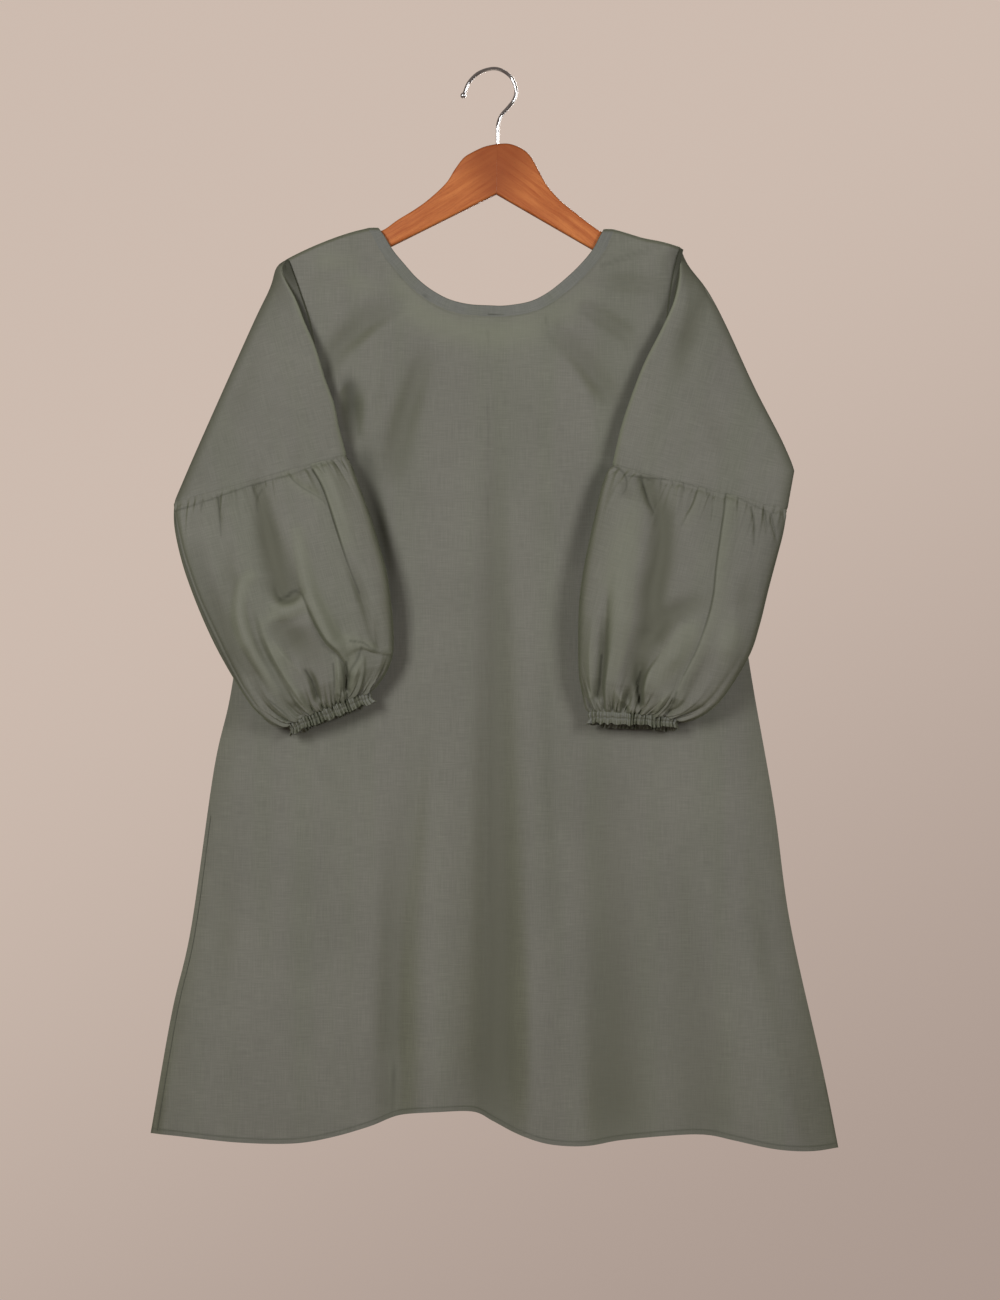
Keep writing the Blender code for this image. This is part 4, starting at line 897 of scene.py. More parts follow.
    # Painted shade, olive, in the creases, at the top and along the outer edge, and painted highlight along the inner
    # fold
    hollow = np.clip(-creases / UPPER_HOLLOW_DEPTH, 0, 1)
    from_top = np.linalg.norm(points[:, [0, 2]] - points[0, [0, 2]], axis=1)
    hollow = np.maximum(hollow, TOP_TONE * ease((TOP_REACH - from_top) / TOP_REACH))
    for front_ids, _ in chains:
        ids = front_ids[: UPPER_FRONT_SPANS // 2]
        from_edge = np.linalg.norm(points[ids][:, [0, 2]] - points[ids[0], [0, 2]], axis=1)
        hollow[ids] = np.maximum(hollow[ids], EDGE_TONE * ease((EDGE_BAND - from_edge) / EDGE_BAND))
    for front_ids, _ in chains:
        ids = front_ids[UPPER_FRONT_SPANS // 2: UPPER_FRONT_SPANS + 2]
        fold = points[front_ids[UPPER_FRONT_SPANS]][[0, 2]]
        from_fold = np.linalg.norm(points[ids][:, [0, 2]] - fold, axis=1)
        hollow[ids] -= RIM_LIGHT * np.exp(-((from_fold / RIM_REACH) ** 2))
    # Painted shade on the layer under the inner fold and at the sleeve's top
    shade = np.zeros(len(points))
    for (front_ids, _), w in zip(chains, UPPER_ROWS):
        shade[front_ids[UPPER_FRONT_SPANS + 3:]] = UNDER_SHADE[side] * ease((1.02 - w) / 0.25) + TIP_SHADE * ease((0.14 - w) / 0.08)
    return points, faces, normals, shade, hollow


def make_upper_sleeve(name, side, material):
    points, faces, normals, shade, hollow = upper_sleeve_sheet(side)
    return cloth_solid(name, points, faces, normals, CLOTH, material, sleeve_weave(points, side), shade, hollow)


def bunches(shares, rows, count, width, reach, height, seed):
    """Gathers round a ring that fade with the distance from the seam: uneven in place, width, length and height."""
    draw = np.random.default_rng(seed)
    relief = np.zeros((len(rows), len(shares)))
    for k in range(count):
        centre = (k + draw.uniform(-0.35, 0.35)) / count
        off = (shares - centre + 0.5) % 1.0 - 0.5
        wide = width * draw.uniform(0.6, 1.5)
        long = reach * draw.uniform(0.35, 1.6)
        tall = height * draw.uniform(0.4, 1.3) * (1 if k % 2 else -1)
        lean = draw.uniform(-0.012, 0.012)
        drift = off[None, :] - lean * rows[:, None] / max(long, 1e-6)
        relief += tall * np.exp(-((drift / wide) ** 2)) * np.exp(-((rows[:, None] / long) ** 1.5))
    return relief


def lower_sleeve_grid(side):
    outer, inner = smooth_curve(LOWER_OUTER[side]), smooth_curve(LOWER_INNER[side])
    v = np.linspace(0, 1, LOWER_ROW_COUNT)
    v = v - 0.05 * np.sin(2 * math.pi * v)
    rings = []
    for share in v:
        ring = finer_front_ring(
            along(outer, share), along(inner, share), lerp_table(share, LOWER_SECTION, 1), lerp_table(share, LOWER_SECTION, 2),
            lerp_table(share, LOWER_SECTION, 3),
        )
        ring[:, 2] -= CUFF_TILT[side] * ease((share - 0.7) / 0.3) * (ring[:, 1] - ring[:, 1].min()) / np.ptp(ring[:, 1])
        rings.append(ring)
    grid = np.array(rings)
    like = grid - grid.mean(axis=1, keepdims=True)
    normals = grid_directions(grid, True, like)
    facing_out = ease(-normals[..., 1] * 1.6)
    relief = PUFF_LIFT * crease_relief(grid[..., 0], grid[..., 2], LOWER_CREASES[side], on_sleeve) * facing_out
    ring_share = np.concatenate([
        0.5 * np.arange(LOWER_FRONT_COLUMNS) / LOWER_FRONT_COLUMNS, 0.5 + 0.5 * np.arange(LOWER_BACK_COLUMNS) / LOWER_BACK_COLUMNS,
    ])
    seed = 11 if side == "left" else 23
    at_ends = ease(v / 0.02)[:, None] * ease((1 - v) / 0.02)[:, None]
    gathers = bunches(ring_share, v, 84, 0.0042, 0.07, 1.2, seed)
    gathers += bunches(ring_share, v, 30, 0.011, 0.18, 0.9, seed + 1)
    gathers += bunches(ring_share, 1 - v, 88, 0.0044, 0.08, 2.0, seed + 2)
    gathers += bunches(ring_share, 1 - v, 34, 0.0105, 0.17, 2.3, seed + 3)
    gathers -= SEAM_DIP * np.exp(-((v * LOWER_LENGTH / SEAM_DIP_REACH) ** 2))[:, None]
    grid = grid + normals * ((relief + gathers) * (0.25 + 0.75 * at_ends))[..., None]
    grid = clear_of_front(grid)
    run = unit(outer[0] - outer[8])
    tucked = grid[:1] + np.array([run[0], 0.0, run[1]]) * 2.4 - normals[:1] * 1.0
    grid = np.concatenate([tucked, grid])
    like = np.concatenate([like[:1], like])
    normals = grid_directions(grid, True, like)
    # Painted shade in the valleys, and painted highlight on the crests
    hollow = np.clip(-np.vstack([relief[:1], relief]) / PUFF_HOLLOW_DEPTH, -CREST_LIGHT, 1)
    return grid, normals, hollow


def make_lower_sleeve(name, side, material):
    grid, normals, hollow = lower_sleeve_grid(side)
    # Painted shade along fold bottoms, gathers, seams and the shadowed outer edges
    shade = line_shade(grid[..., 0], grid[..., 2], LOWER_LINES[side], on_sleeve) * ease(-normals[..., 1] * 3)
    return cloth_wall(name, grid, normals, CLOTH, True, material, sleeve_weave(grid, side), shade, hollow)


def make_cuff(name, side, material):
    """Elastic band gathered into ruffles, wavy along its lower edge."""
    per_ruffle = 9
    columns = CUFF_RUFFLES * per_ruffle
    outer, inner = smooth_curve(LOWER_OUTER[side]), smooth_curve(LOWER_INNER[side])
    start, end = along(outer, 1), along(inner, 1)
    _, middle_y, front, back = LOWER_SECTION[-1]
    base = oval_ring(start, end, middle_y, front, back, columns)
    base[:, 2] -= CUFF_TILT[side] * (base[:, 1] - base[:, 1].min()) / np.ptp(base[:, 1])
    run = unit(end - start)
    down = np.array([run[1], 0, -run[0]]) * (1 if side == "left" else -1)
    directions = oval_directions(base)
    draw = np.random.default_rng(31 if side == "left" else 37)
    place = np.arange(columns) / per_ruffle
    phase = np.interp(place, np.arange(CUFF_RUFFLES + 1), np.append(draw.uniform(-1.6, 1.6, CUFF_RUFFLES), 0))
    strength = np.interp(place, np.arange(CUFF_RUFFLES + 1), np.append(0.3 + 1.5 * draw.uniform(0, 1, CUFF_RUFFLES) ** 2, 0.8))
    lean = np.interp(place, np.arange(0, CUFF_RUFFLES + 1, 4), np.append(draw.uniform(-1.8, 1.8, CUFF_RUFFLES // 4), 0))
    long = np.interp(place, np.arange(CUFF_RUFFLES + 1), np.append(draw.uniform(-1.0, 1.0, CUFF_RUFFLES), 0))
    shares = np.linspace(0, 1, 22)
    rows = []
    for share in shares:
        spread = lerp_table(share, CUFF_ROWS, 1)
        ruffle = lerp_table(share, CUFF_ROWS, 2)
        wave = np.sin(2 * math.pi * place + phase + share * (1.4 * long + lean)) * strength
        reach = SEAM_GAP - 0.9 + CUFF_LENGTH * share + 1.7 * long * share
        row = base + down * reach[:, None] + directions * (spread + 1.25 * ruffle * wave)[:, None]
        rows.append(row)
    grid = np.array(rows)
    normals = grid_directions(grid, True, np.array([directions] * len(rows)))
    length = np.concatenate([[0], np.cumsum(np.linalg.norm(np.diff(base, axis=0), axis=1))])
    weave = np.stack([
        np.broadcast_to(length * 2.2, grid.shape[:2]),
        np.broadcast_to((shares * CUFF_LENGTH)[:, None], grid.shape[:2]),
    ], axis=-1) * MM
    return cloth_wall(name, grid, normals, 0.6, True, material, weave)


# Hanger
def make_hanger_half(name, side, material):
    gap = JOINT_GAP / 2 * (-1 if side == "left" else 1)
    top = smooth_curve([(HANGER_TOP[0] + gap, HANGER_TOP[1])] + HANGER[side][:14], 5)
    below = smooth_curve(HANGER[side][13:17], 4)[1:]
    outline = [tuple(p) for p in np.vstack([top, below])] + HANGER[side][17:] + [(HANGER_APEX[0] + gap, HANGER_APEX[1])]
    work = bmesh.new()
    verts = [work.verts.new((x * MM, -HANGER_THICKNESS / 2 * MM, z * MM)) for x, z in outline]
    face = work.faces.new(verts)
    extruded = bmesh.ops.extrude_face_region(work, geom=[face])
    moved = [g for g in extruded["geom"] if isinstance(g, bmesh.types.BMVert)]
    bmesh.ops.translate(work, verts=moved, vec=(0, HANGER_THICKNESS * MM, 0))
    bmesh.ops.recalc_face_normals(work, faces=work.faces[:])
    rounded = [
        e for e in work.edges
        if abs(e.verts[0].co.y - e.verts[1].co.y) < 1e-6
        and not all(abs(v.co.x - (HANGER_TOP[0] + gap) * MM) < 0.002 and v.co.z < -0.07 for v in e.verts)
    ]
    bmesh.ops.bevel(work, geom=rounded, offset=HANGER_BEVEL * MM, segments=5, profile=0.5, affect="EDGES", clamp_overlap=True)
    arm = unit(np.array([HANGER[side][10][0] - HANGER_TOP[0], HANGER[side][10][1] - HANGER_TOP[1]], dtype=float))
    layer = work.loops.layers.uv.new("grain")
    for face in work.faces:
        for loop in face.loops:
            x, y, z = (c / MM for c in loop.vert.co)
            lengthwise = (x - HANGER_TOP[0]) * arm[0] + (z - HANGER_TOP[1]) * arm[1]
            crosswise = (x - HANGER_TOP[0]) * -arm[1] + (z - HANGER_TOP[1]) * arm[0]
            loop[layer].uv = (lengthwise * MM, (crosswise + 0.6 * y) * MM)
    mesh = bpy.data.meshes.new(name)
    work.to_mesh(mesh)
    work.free()
    mesh.materials.append(material)
    mesh.shade_smooth()
    mesh.set_sharp_from_angle(angle=math.radians(40))
    obj = bpy.data.objects.new(name, mesh)
    bpy.context.collection.objects.link(obj)
    return obj


def cut_bore(halves):
    """Hole for the hook's shaft through the joint of the two halves."""
    bpy.ops.mesh.primitive_cylinder_add(
        vertices=32, radius=(WIRE_DIAMETER / 2 + SEAM_GAP) * MM, depth=2 * (SHAFT_DEPTH + SEAM_GAP) * MM,
        location=(HOOK[-1][0] * MM, 0, HANGER_TOP[1] * MM),
    )
    cutter = bpy.context.object
    for half in halves:
        cut = half.modifiers.new("bore", "BOOLEAN")
        cut.operation = "DIFFERENCE"
        cut.solver = "EXACT"
        cut.object = cutter
        bpy.context.view_layer.update()
        evaluated = half.evaluated_get(bpy.context.evaluated_depsgraph_get())
        result = bpy.data.meshes.new_from_object(evaluated)
        half.modifiers.clear()
        half.data = result
    bpy.data.objects.remove(cutter)


def make_hook(name, material):
    path = smooth_curve([(x, z) for x, z in HOOK] + [(HOOK[-1][0], HOOK[-1][1] - SHAFT_DEPTH)], 16)
    path = along(path, np.linspace(0, 1, 150))
    tangent = unit(np.gradient(path, axis=0))
    sides, radius, ball = 24, WIRE_DIAMETER / 2, BALL_DIAMETER / 2
    start, heading = path[0], tangent[0]
    sections = []
    for angle in np.linspace(0, math.radians(142), 15):
        sections.append((start - heading * ball * (0.8 + math.cos(angle)), heading, max(ball * math.sin(angle), 0)))
    sections += [(p, t, radius) for p, t in zip(path, tangent)]
    vertices, faces, rings = [], [], []
    for place, way, size in sections:
        across = np.array([-way[1], way[0]])
        if size < 1e-6:
            rings.append([len(vertices)])
            vertices.append((place[0], 0.0, place[1]))
            continue
        ring = []
        for k in range(sides):
            a = 2 * math.pi * k / sides
            flat = place + across * size * math.cos(a)
            ring.append(len(vertices))
            vertices.append((flat[0], size * math.sin(a), flat[1]))
        rings.append(ring)
    for a, b in zip(rings, rings[1:]):
        for k in range(sides):
            n = (k + 1) % sides
            faces.append((a[0], b[k], b[n]) if len(a) == 1 else (a[k], a[n], b[n], b[k]))
    faces.append(tuple(rings[-1]))
    return new_object(name, vertices, faces, material)


# Stitches
def make_stitches(name, lines, pitch, length, thickness, material):
    """Machine stitches, and the dark threads of the side seam's painted shadow: a short rounded thread at each step of
    each line. A line is points with their directions out.
    """
    vertices, faces = [], []
    for path, outward in lines:
        steps = np.linalg.norm(np.diff(path, axis=0), axis=1)
        total = steps.sum()
        count = max(int(total / pitch), 1)
        middle = along(path, (np.arange(count) + 0.5) / count)
        ahead = along(path, np.clip((np.arange(count) + 0.5 + 0.1) / count, 0, 1))
        way = unit(ahead - middle)
        out = unit(along(outward, (np.arange(count) + 0.5) / count))
        for p, w, o in zip(middle, way, out):
            s = np.cross(w, o)
            base = len(vertices)
            for reach, size in ((-0.5, 0.35), (-0.3, 1.0), (0.3, 1.0), (0.5, 0.35)):
                lift = 0.15 if abs(reach) < 0.4 else -0.25
                centre = p + w * reach * length + o * thickness * lift
                for k in range(6):
                    a = 2 * math.pi * k / 6
                    vertices.append(centre + (s * math.cos(a) + o * math.sin(a)) * thickness / 2 * size)
            for r in range(3):
                for k in range(6):
                    n = (k + 1) % 6
                    faces.append((base + 6 * r + k, base + 6 * r + n, base + 6 * r + 6 + n, base + 6 * r + 6 + k))
            faces.append(tuple(base + k for k in range(6)))
            faces.append(tuple(base + 18 + k for k in range(6)))
    return new_object(name, vertices, faces, material)


def hem_line(facing):
    x = np.linspace(-352, 353, 700)
    z = np.interp(x, HEM_PATH[:, 0], HEM_PATH[:, 1]) + HEM_DEPTH - 0.6
    normals = body_normal(x, z, facing)
    return body_point(x, z, facing) + normals * CLOTH / 2, normals


def side_turn_line():
    """The left side seam, rolled a little to the front, so that it shows inside the edge; the dark line along it is
    painted shadow in the seam's fold.
    """
    z = np.linspace(-775, -1102, 300)
    x = side_x("left", z) + lerp_table(z, SIDE_TURN)
    normals = body_normal(x, z, -1)
    return body_point(x, z, -1) + normals * CLOTH / 2, normals


# Materials
def nodes_of(name):
    material = bpy.data.materials.new(name)
    material.use_nodes = True
    return material, material.node_tree.nodes, material.node_tree.links, material.node_tree.nodes["Principled BSDF"]


def math_node(nodes, links, operation, first, second=None, clamp=False):
    node = nodes.new("ShaderNodeMath")
    node.operation = operation
    node.use_clamp = clamp
    for socket, value in zip(node.inputs, (first, second)):
        if value is None:
            continue
        if isinstance(value, (int, float)):
            socket.default_value = value
        else:
            links.new(value, socket)
    return node.outputs[0]


def mix_colour(nodes, links, factor, first, second, blend="MIX"):
    node = nodes.new("ShaderNodeMix")
    node.data_type = "RGBA"
    node.blend_type = blend
    for socket, value in ((node.inputs["Factor"], factor), (node.inputs["A"], first), (node.inputs["B"], second)):
        if isinstance(value, (int, float, tuple)):
            socket.default_value = value if not isinstance(value, tuple) else (*value, 1)
        else:
            links.new(value, socket)
    return node.outputs["Result"]


def noise(nodes, links, vector, scale, detail=2.0, roughness=0.5, stretch=None):
    if stretch is not None:
        mapping = nodes.new("ShaderNodeMapping")
        mapping.inputs["Scale"].default_value = stretch
        links.new(vector, mapping.inputs["Vector"])
        vector = mapping.outputs["Vector"]
    node = nodes.new("ShaderNodeTexNoise")
    node.inputs["Scale"].default_value = scale
    node.inputs["Detail"].default_value = detail
    node.inputs["Roughness"].default_value = roughness
    links.new(vector, node.inputs["Vector"])
    return node.outputs["Fac"]


def remap(nodes, links, value, low, high, to_low=0.0, to_high=1.0):
    node = nodes.new("ShaderNodeMapRange")
    node.interpolation_type = "SMOOTHSTEP"
    node.inputs["From Min"].default_value = low
    node.inputs["From Max"].default_value = high
    node.inputs["To Min"].default_value = to_low
    node.inputs["To Max"].default_value = to_high
    links.new(value, node.inputs["Value"])
    return node.outputs["Result"]


# Cloth colours: SAGE and OLIVE also serve as painted shade, LIGHT_SAGE as painted highlight
GREY_SAGE = (0.1300, 0.1310, 0.1140)
COOL_SAGE = (0.126, 0.131, 0.120)
LIGHT_SAGE = (0.158, 0.170, 0.126)
GREEN_YARN = (0.116, 0.125, 0.096)
SAGE = (0.104, 0.107, 0.080)
OLIVE = (0.086, 0.093, 0.062)
THREAD_PITCH = 0.0006


def cloth_material(name, tint=1.0, soft_lean=0.15, flat_tone=GREY_SAGE):
    """Shot plain weave with uneven yarns; its sheen and shade are painted: greyish sage where it faces front or back,
    olive where it turns away.
    """
    material, nodes, links, shader = nodes_of(name)
    uv = nodes.new("ShaderNodeUVMap")
    uv.uv_map = "weave"
    place = uv.outputs["UV"]
    geometry = nodes.new("ShaderNodeNewGeometry")
    split = nodes.new("ShaderNodeSeparateXYZ")
    links.new(geometry.outputs["Normal"], split.inputs[0])
    # Painted sheen and shade: darker olive as the surface turns away from the front or back
    facing = math_node(nodes, links, "ABSOLUTE", split.outputs["Y"])
    broad = noise(nodes, links, place, 7.0, 3.0, 0.55)
    tilt = math_node(nodes, links, "SUBTRACT", 1.0, facing)
    wander = math_node(nodes, links, "MULTIPLY", math_node(nodes, links, "SUBTRACT", broad, 0.5), 0.05)
    leaning = math_node(nodes, links, "ADD", tilt, wander)
    soft_turn = remap(nodes, links, leaning, 0.0, soft_lean)
    full_turn = remap(nodes, links, leaning, 0.20, 0.75)
    colour = mix_colour(nodes, links, soft_turn, tuple(c * tint for c in flat_tone), tuple(c * tint for c in SAGE))
    colour = mix_colour(nodes, links, full_turn, colour, tuple(c * tint for c in OLIVE))
    streak = noise(nodes, links, place, 1.0, 2.0, 0.5, (24.0, 1.6, 1.0))
    colour = mix_colour(nodes, links, remap(nodes, links, streak, 0.42, 0.70, 0.0, 0.40), colour, tuple(c * tint for c in GREEN_YARN))
    weft = noise(nodes, links, place, 1.0, 2.0, 0.6, (48.0, 1050.0, 1.0))
    warp = noise(nodes, links, place, 1.0, 2.0, 0.6, (1250.0, 36.0, 1.0))
    slub = noise(nodes, links, place, 1.0, 1.0, 0.5, (60.0, 420.0, 1.0))
    yarn = math_node(nodes, links, "ADD", weft, warp)
    yarn_tone = remap(nodes, links, yarn, 0.72, 1.28, 0.91, 1.09)
    slub_tone = remap(nodes, links, slub, 0.62, 0.78, 1.0, 1.08)
    tone = math_node(nodes, links, "MULTIPLY", yarn_tone, slub_tone)
    mottle = remap(nodes, links, broad, 0.3, 0.7, 0.95, 1.05)
    tone = math_node(nodes, links, "MULTIPLY", tone, mottle)
    grey = nodes.new("ShaderNodeCombineColor")
    for socket in grey.inputs[:3]:
        links.new(tone, socket)
    colour = mix_colour(nodes, links, 1.0, colour, grey.outputs[0], "MULTIPLY")
    # Painted shade in valleys from the hollow attribute, and painted highlight where it is below zero
    hollow = nodes.new("ShaderNodeAttribute")
    hollow.attribute_name = "hollow"
    deep = math_node(nodes, links, "MULTIPLY", hollow.outputs["Fac"], 0.9, True)
    colour = mix_colour(nodes, links, deep, colour, tuple(c * tint * 0.80 for c in SAGE))
    light = math_node(nodes, links, "MULTIPLY", hollow.outputs["Fac"], -1.0, True)
    colour = mix_colour(nodes, links, light, colour, LIGHT_SAGE)
    # Painted shade towards near black from the shade attribute, with a few dark thread marks
    shade = nodes.new("ShaderNodeAttribute")
    shade.attribute_name = "shade"
    colour = mix_colour(nodes, links, shade.outputs["Fac"], colour, (0.020, 0.022, 0.014))
    links.new(colour, shader.inputs["Base Color"])
    shader.inputs["Roughness"].default_value = 0.82
    shader.inputs["Specular IOR Level"].default_value = 0.25
    shader.inputs["Sheen Weight"].default_value = 0.12
    shader.inputs["Sheen Roughness"].default_value = 0.45
    shader.inputs["Sheen Tint"].default_value = (0.62, 0.72, 0.48, 1)
    separate = nodes.new("ShaderNodeSeparateXYZ")
    links.new(place, separate.inputs[0])
    turn = 2 * math.pi / THREAD_PITCH
    over = math_node(nodes, links, "SINE", math_node(nodes, links, "MULTIPLY", separate.outputs["X"], turn))
    under = math_node(nodes, links, "SINE", math_node(nodes, links, "MULTIPLY", separate.outputs["Y"], turn))
    plain = math_node(nodes, links, "MULTIPLY", over, under)
    crumple = noise(nodes, links, place, 60.0, 4.0, 0.55)
    height = math_node(nodes, links, "ADD", math_node(nodes, links, "MULTIPLY", plain, 0.10), math_node(nodes, links, "MULTIPLY", yarn, 0.30))
    height = math_node(nodes, links, "ADD", height, math_node(nodes, links, "MULTIPLY", crumple, 0.9))
    bump = nodes.new("ShaderNodeBump")
    bump.inputs["Strength"].default_value = 0.35
    bump.inputs["Distance"].default_value = 0.0006
    links.new(height, bump.inputs["Height"])
    links.new(bump.outputs["Normal"], shader.inputs["Normal"])
    return material


def thread_material(name, colour):
    material, nodes, links, shader = nodes_of(name)
    coords = nodes.new("ShaderNodeTexCoord")
    twist = noise(nodes, links, coords.outputs["Object"], 900.0, 2.0)
    tone = remap(nodes, links, twist, 0.3, 0.7)
    links.new(mix_colour(nodes, links, tone, tuple(c * 0.8 for c in colour), tuple(c * 1.15 for c in colour)), shader.inputs["Base Color"])
    shader.inputs["Roughness"].default_value = 0.7
    return material


def wood_material(name):
    """Varnished hardwood with the grain along each arm, darker streaks and a few small knots."""
    material, nodes, links, shader = nodes_of(name)
    uv = nodes.new("ShaderNodeUVMap")
    uv.uv_map = "grain"
    place = uv.outputs["UV"]
    bend = noise(nodes, links, place, 9.0, 2.0)
    warped = nodes.new("ShaderNodeVectorMath")
    warped.operation = "ADD"
    links.new(place, warped.inputs[0])
    shift = nodes.new("ShaderNodeCombineXYZ")
    links.new(math_node(nodes, links, "MULTIPLY", bend, 0.010), shift.inputs["Y"])
    links.new(shift.outputs[0], warped.inputs[1])
    bands = noise(nodes, links, warped.outputs[0], 1.0, 3.0, 0.6, (6.0, 150.0, 1.0))
    fibres = noise(nodes, links, warped.outputs[0], 1.0, 2.0, 0.6, (40.0, 1500.0, 1.0))
    pores = noise(nodes, links, warped.outputs[0], 1.0, 1.0, 0.5, (160.0, 2400.0, 1.0))
    patch = noise(nodes, links, place, 16.0, 2.0)
    colour = mix_colour(nodes, links, remap(nodes, links, bands, 0.34, 0.66), (0.285, 0.066, 0.014), (0.425, 0.136, 0.036))
    colour = mix_colour(nodes, links, remap(nodes, links, patch, 0.42, 0.70, 0.0, 0.55), colour, (0.265, 0.057, 0.012))
    colour = mix_colour(nodes, links, remap(nodes, links, fibres, 0.3, 0.75, 0.0, 0.5), colour, (0.52, 0.185, 0.055))
    split = nodes.new("ShaderNodeSeparateXYZ")
    links.new(place, split.inputs[0])
    near_top = remap(nodes, links, split.outputs["X"], 0.018, 0.062, 0.78, 0.0)
    colour = mix_colour(nodes, links, near_top, colour, (0.205, 0.044, 0.009))
    colour = mix_colour(nodes, links, remap(nodes, links, pores, 0.64, 0.74, 0.0, 0.55), colour, (0.10, 0.028, 0.010))
    links.new(colour, shader.inputs["Base Color"])
    links.new(remap(nodes, links, fibres, 0.3, 0.7, 0.44, 0.58), shader.inputs["Roughness"])
    shader.inputs["Specular IOR Level"].default_value = 0.22
    shader.inputs["Coat Weight"].default_value = 0.03
    shader.inputs["Coat Roughness"].default_value = 0.3
    bump = nodes.new("ShaderNodeBump")
    bump.inputs["Strength"].default_value = 0.25
    bump.inputs["Distance"].default_value = 0.0003
    links.new(fibres, bump.inputs["Height"])
    links.new(bump.outputs["Normal"], shader.inputs["Normal"])
    return material


def chrome_material(name):
    material, nodes, links, shader = nodes_of(name)
    coords = nodes.new("ShaderNodeTexCoord")
    wear = noise(nodes, links, coords.outputs["Object"], 260.0, 4.0, 0.6)
    links.new(remap(nodes, links, wear, 0.35, 0.7, 0.06, 0.14), shader.inputs["Roughness"])
    links.new(
        mix_colour(nodes, links, remap(nodes, links, wear, 0.45, 0.75), (0.60, 0.61, 0.63), (0.50, 0.51, 0.52)),
        shader.inputs["Base Color"],
    )
    shader.inputs["Metallic"].default_value = 1.0
    return material


def backdrop_material(name, colour):
    material, nodes, links, shader = nodes_of(name)
    coords = nodes.new("ShaderNodeTexCoord")
    mottle = noise(nodes, links, coords.outputs["Object"], 3.0, 3.0)
    links.new(
        mix_colour(nodes, links, mottle, tuple(c * 0.97 for c in colour), tuple(c * 1.03 for c in colour)),
        shader.inputs["Base Color"],
    )
    shader.inputs["Roughness"].default_value = 0.9
    return material


# Light and camera
def area_light(name, place, aim, size, power, colour):
    data = bpy.data.lights.new(name, "AREA")
    data.shape = "RECTANGLE"
    data.size, data.size_y = size
    data.energy = power
    data.color = colour
    obj = bpy.data.objects.new(name, data)
    obj.location = place
    obj.rotation_euler = (Vector(aim) - Vector(place)).to_track_quat("-Z", "Y").to_euler()
    bpy.context.collection.objects.link(obj)
    return obj


AMBIENT = 0.32
CAMERA_DISTANCE = 3.6
VIEW_HEIGHT = 1300 * UNIT * MM
VIEW_CENTRE = on_body(500, 650)


def make_stage():
    world = bpy.data.worlds.new("studio")
    bpy.context.scene.world = world
    world.use_nodes = True
    nodes, links = world.node_tree.nodes, world.node_tree.links
    background = nodes["Background"]
    # Painted light falloff: the background is lighter toward the top and the left, like a wall lit from there
    coords = nodes.new("ShaderNodeTexCoord")
    split = nodes.new("ShaderNodeSeparateXYZ")
    links.new(coords.outputs["Generated"], split.inputs[0])
    drift = math_node(nodes, links, "MULTIPLY", split.outputs["X"], -0.6)
    height = remap(nodes, links, math_node(nodes, links, "ADD", split.outputs["Z"], drift), -0.30, 0.12)
    links.new(mix_colour(nodes, links, height, (0.400, 0.316, 0.275), (0.612, 0.500, 0.432)), background.inputs["Color"])
    path = nodes.new("ShaderNodeLightPath")
    strength = math_node(nodes, links, "MULTIPLY", path.outputs["Is Camera Ray"], 1 - AMBIENT)
    links.new(math_node(nodes, links, "ADD", strength, AMBIENT), background.inputs["Strength"])
    bpy.ops.mesh.primitive_circle_add(vertices=96, radius=1.1, fill_type="NGON", location=(0, 0, -1.75))
    floor = bpy.context.object
    floor.name = "floor"
    floor.data.materials.append(backdrop_material("floor_paint", (0.60, 0.53, 0.46)))
    centre = (VIEW_CENTRE[0] * MM, 0, VIEW_CENTRE[1] * MM)
    area_light("key", (-1.15, -1.95, -0.06), (centre[0], 0, -0.50), (0.6, 0.8), 39.5, (1.0, 0.985, 0.955))
    area_light("fill", (1.35, -1.85, -0.10), (centre[0], 0, -0.52), (0.6, 0.8), 26.5, (1.0, 0.98, 0.965))
    area_light("back_light", (0.6, 2.3, 0.35), centre, (1.2, 1.2), 58, (1.0, 0.98, 0.95))
    camera = bpy.data.cameras.new("camera")
    camera.lens = camera.sensor_width * CAMERA_DISTANCE / VIEW_HEIGHT
    camera.clip_end = 50
    obj = bpy.data.objects.new("camera", camera)
    obj.location = (centre[0], -CAMERA_DISTANCE, centre[2])
    obj.rotation_euler = (math.radians(90), 0, 0)
    bpy.context.collection.objects.link(obj)
    bpy.context.scene.camera = obj
    bpy.context.scene.view_settings.view_transform = "Standard"


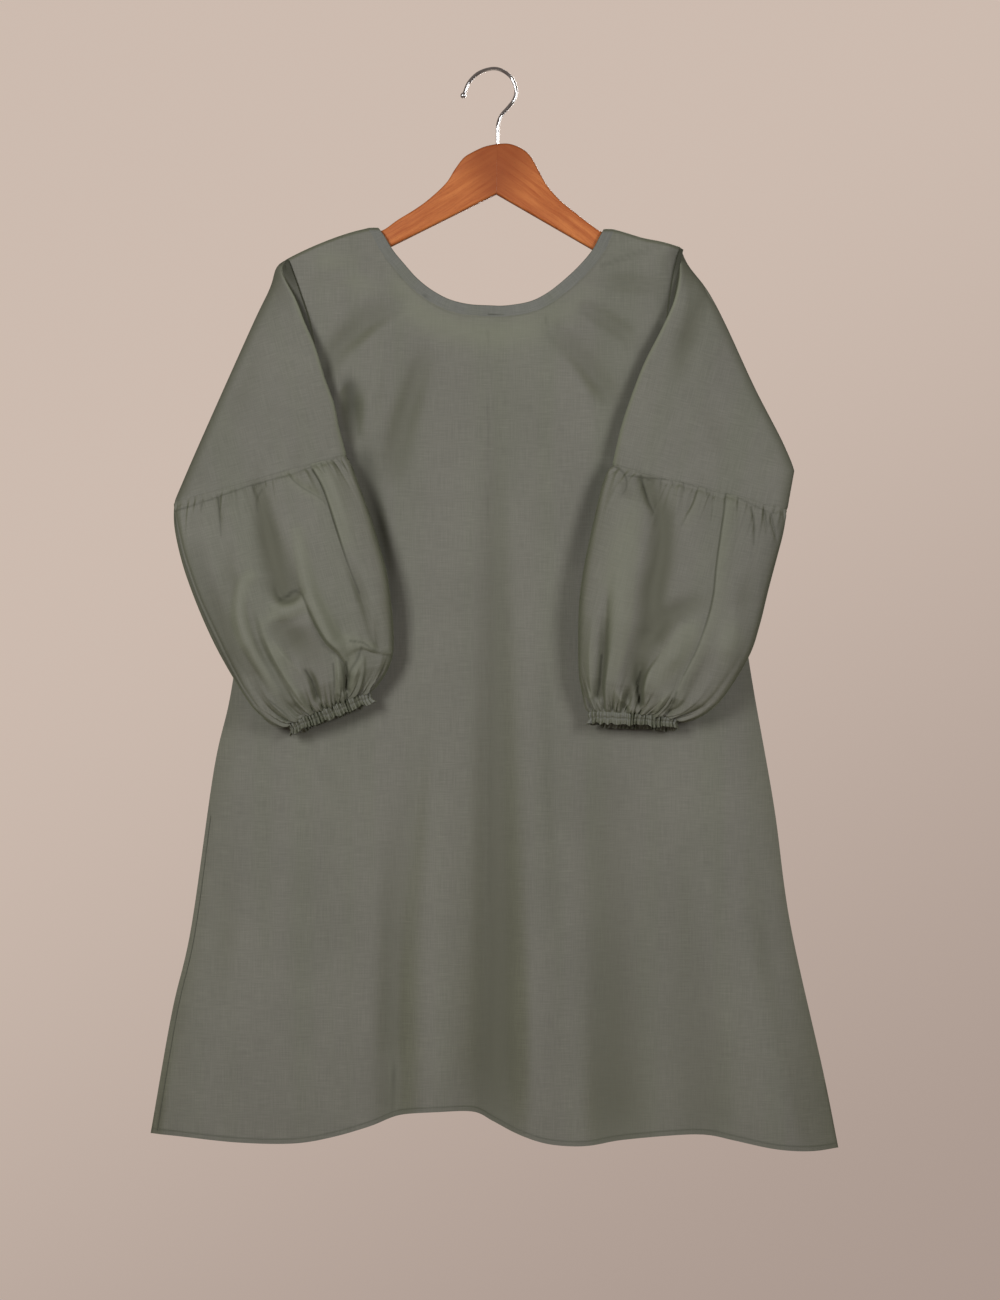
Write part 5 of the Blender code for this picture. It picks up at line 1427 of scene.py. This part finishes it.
def main():
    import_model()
    make_stage()
    body_cloth = cloth_material("body_cloth")
    sleeve_cloth = cloth_material("sleeve_cloth", 0.955, 0.32)
    band_cloth = cloth_material("band_cloth", 0.97, 0.32, COOL_SAGE)
    thread = thread_material("sewing_thread", (0.085, 0.09, 0.068))
    # Dark thread colour for the side seam's painted shadow line
    seam_shadow = thread_material("seam_shadow", (0.050, 0.054, 0.040))

    front = make_panel("tunic_front", -1, (104, 26, 176), body_cloth)
    back = make_panel("tunic_back", 1, (72, 20, 110), body_cloth)
    for piece, node, slot in ((front, "front", "front_cloth"), (back, "back", "back_cloth")):
        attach(piece, "root")
        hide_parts(node)
    bands = []
    for facing, label in ((-1, "front"), (1, "back")):
        band = make_binding(f"neck_band_{label}", facing, band_cloth)
        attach(band, "root")
        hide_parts(f"neck_binding_{label}")
        bands.append(band)
    stitches = make_stitches("hem_stitches", [hem_line(-1), hem_line(1)], 3.0, 2.3, 0.42, thread)
    # The side seam is real; its dark line is painted shadow in its fold, drawn as dark threads
    seam = make_stitches("side_seam_line", [side_turn_line()], 1.5, 1.9, 0.75, seam_shadow)
    for piece in (stitches, seam):
        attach(piece, "root")
    for side in ("left", "right"):
        upper = make_upper_sleeve(f"sleeve_top_{side}", side, sleeve_cloth)
        lower = make_lower_sleeve(f"sleeve_puff_{side}", side, sleeve_cloth)
        cuff = make_cuff(f"sleeve_cuff_{side}", side, band_cloth)
        for piece, node, slot in (
            (upper, f"upper_sleeve_{side}", "sleeve_cloth"),
            (lower, f"lower_sleeve_{side}", "sleeve_cloth"),
            (cuff, f"cuff_{side}", "cuff_cloth"),
        ):
            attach(piece, "root")
            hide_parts(node)
    wood = wood_material("varnished_beech")
    chrome = chrome_material("polished_wire")
    halves = [make_hanger_half(f"hanger_arm_{side}", side, wood) for side in ("left", "right")]
    cut_bore(halves)
    for half, side in zip(halves, ("left", "right")):
        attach(half, "root")
        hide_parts(f"hanger_{side}")
    hook = make_hook("hanger_hook", chrome)
    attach(hook, "root")
    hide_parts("hook")


main()
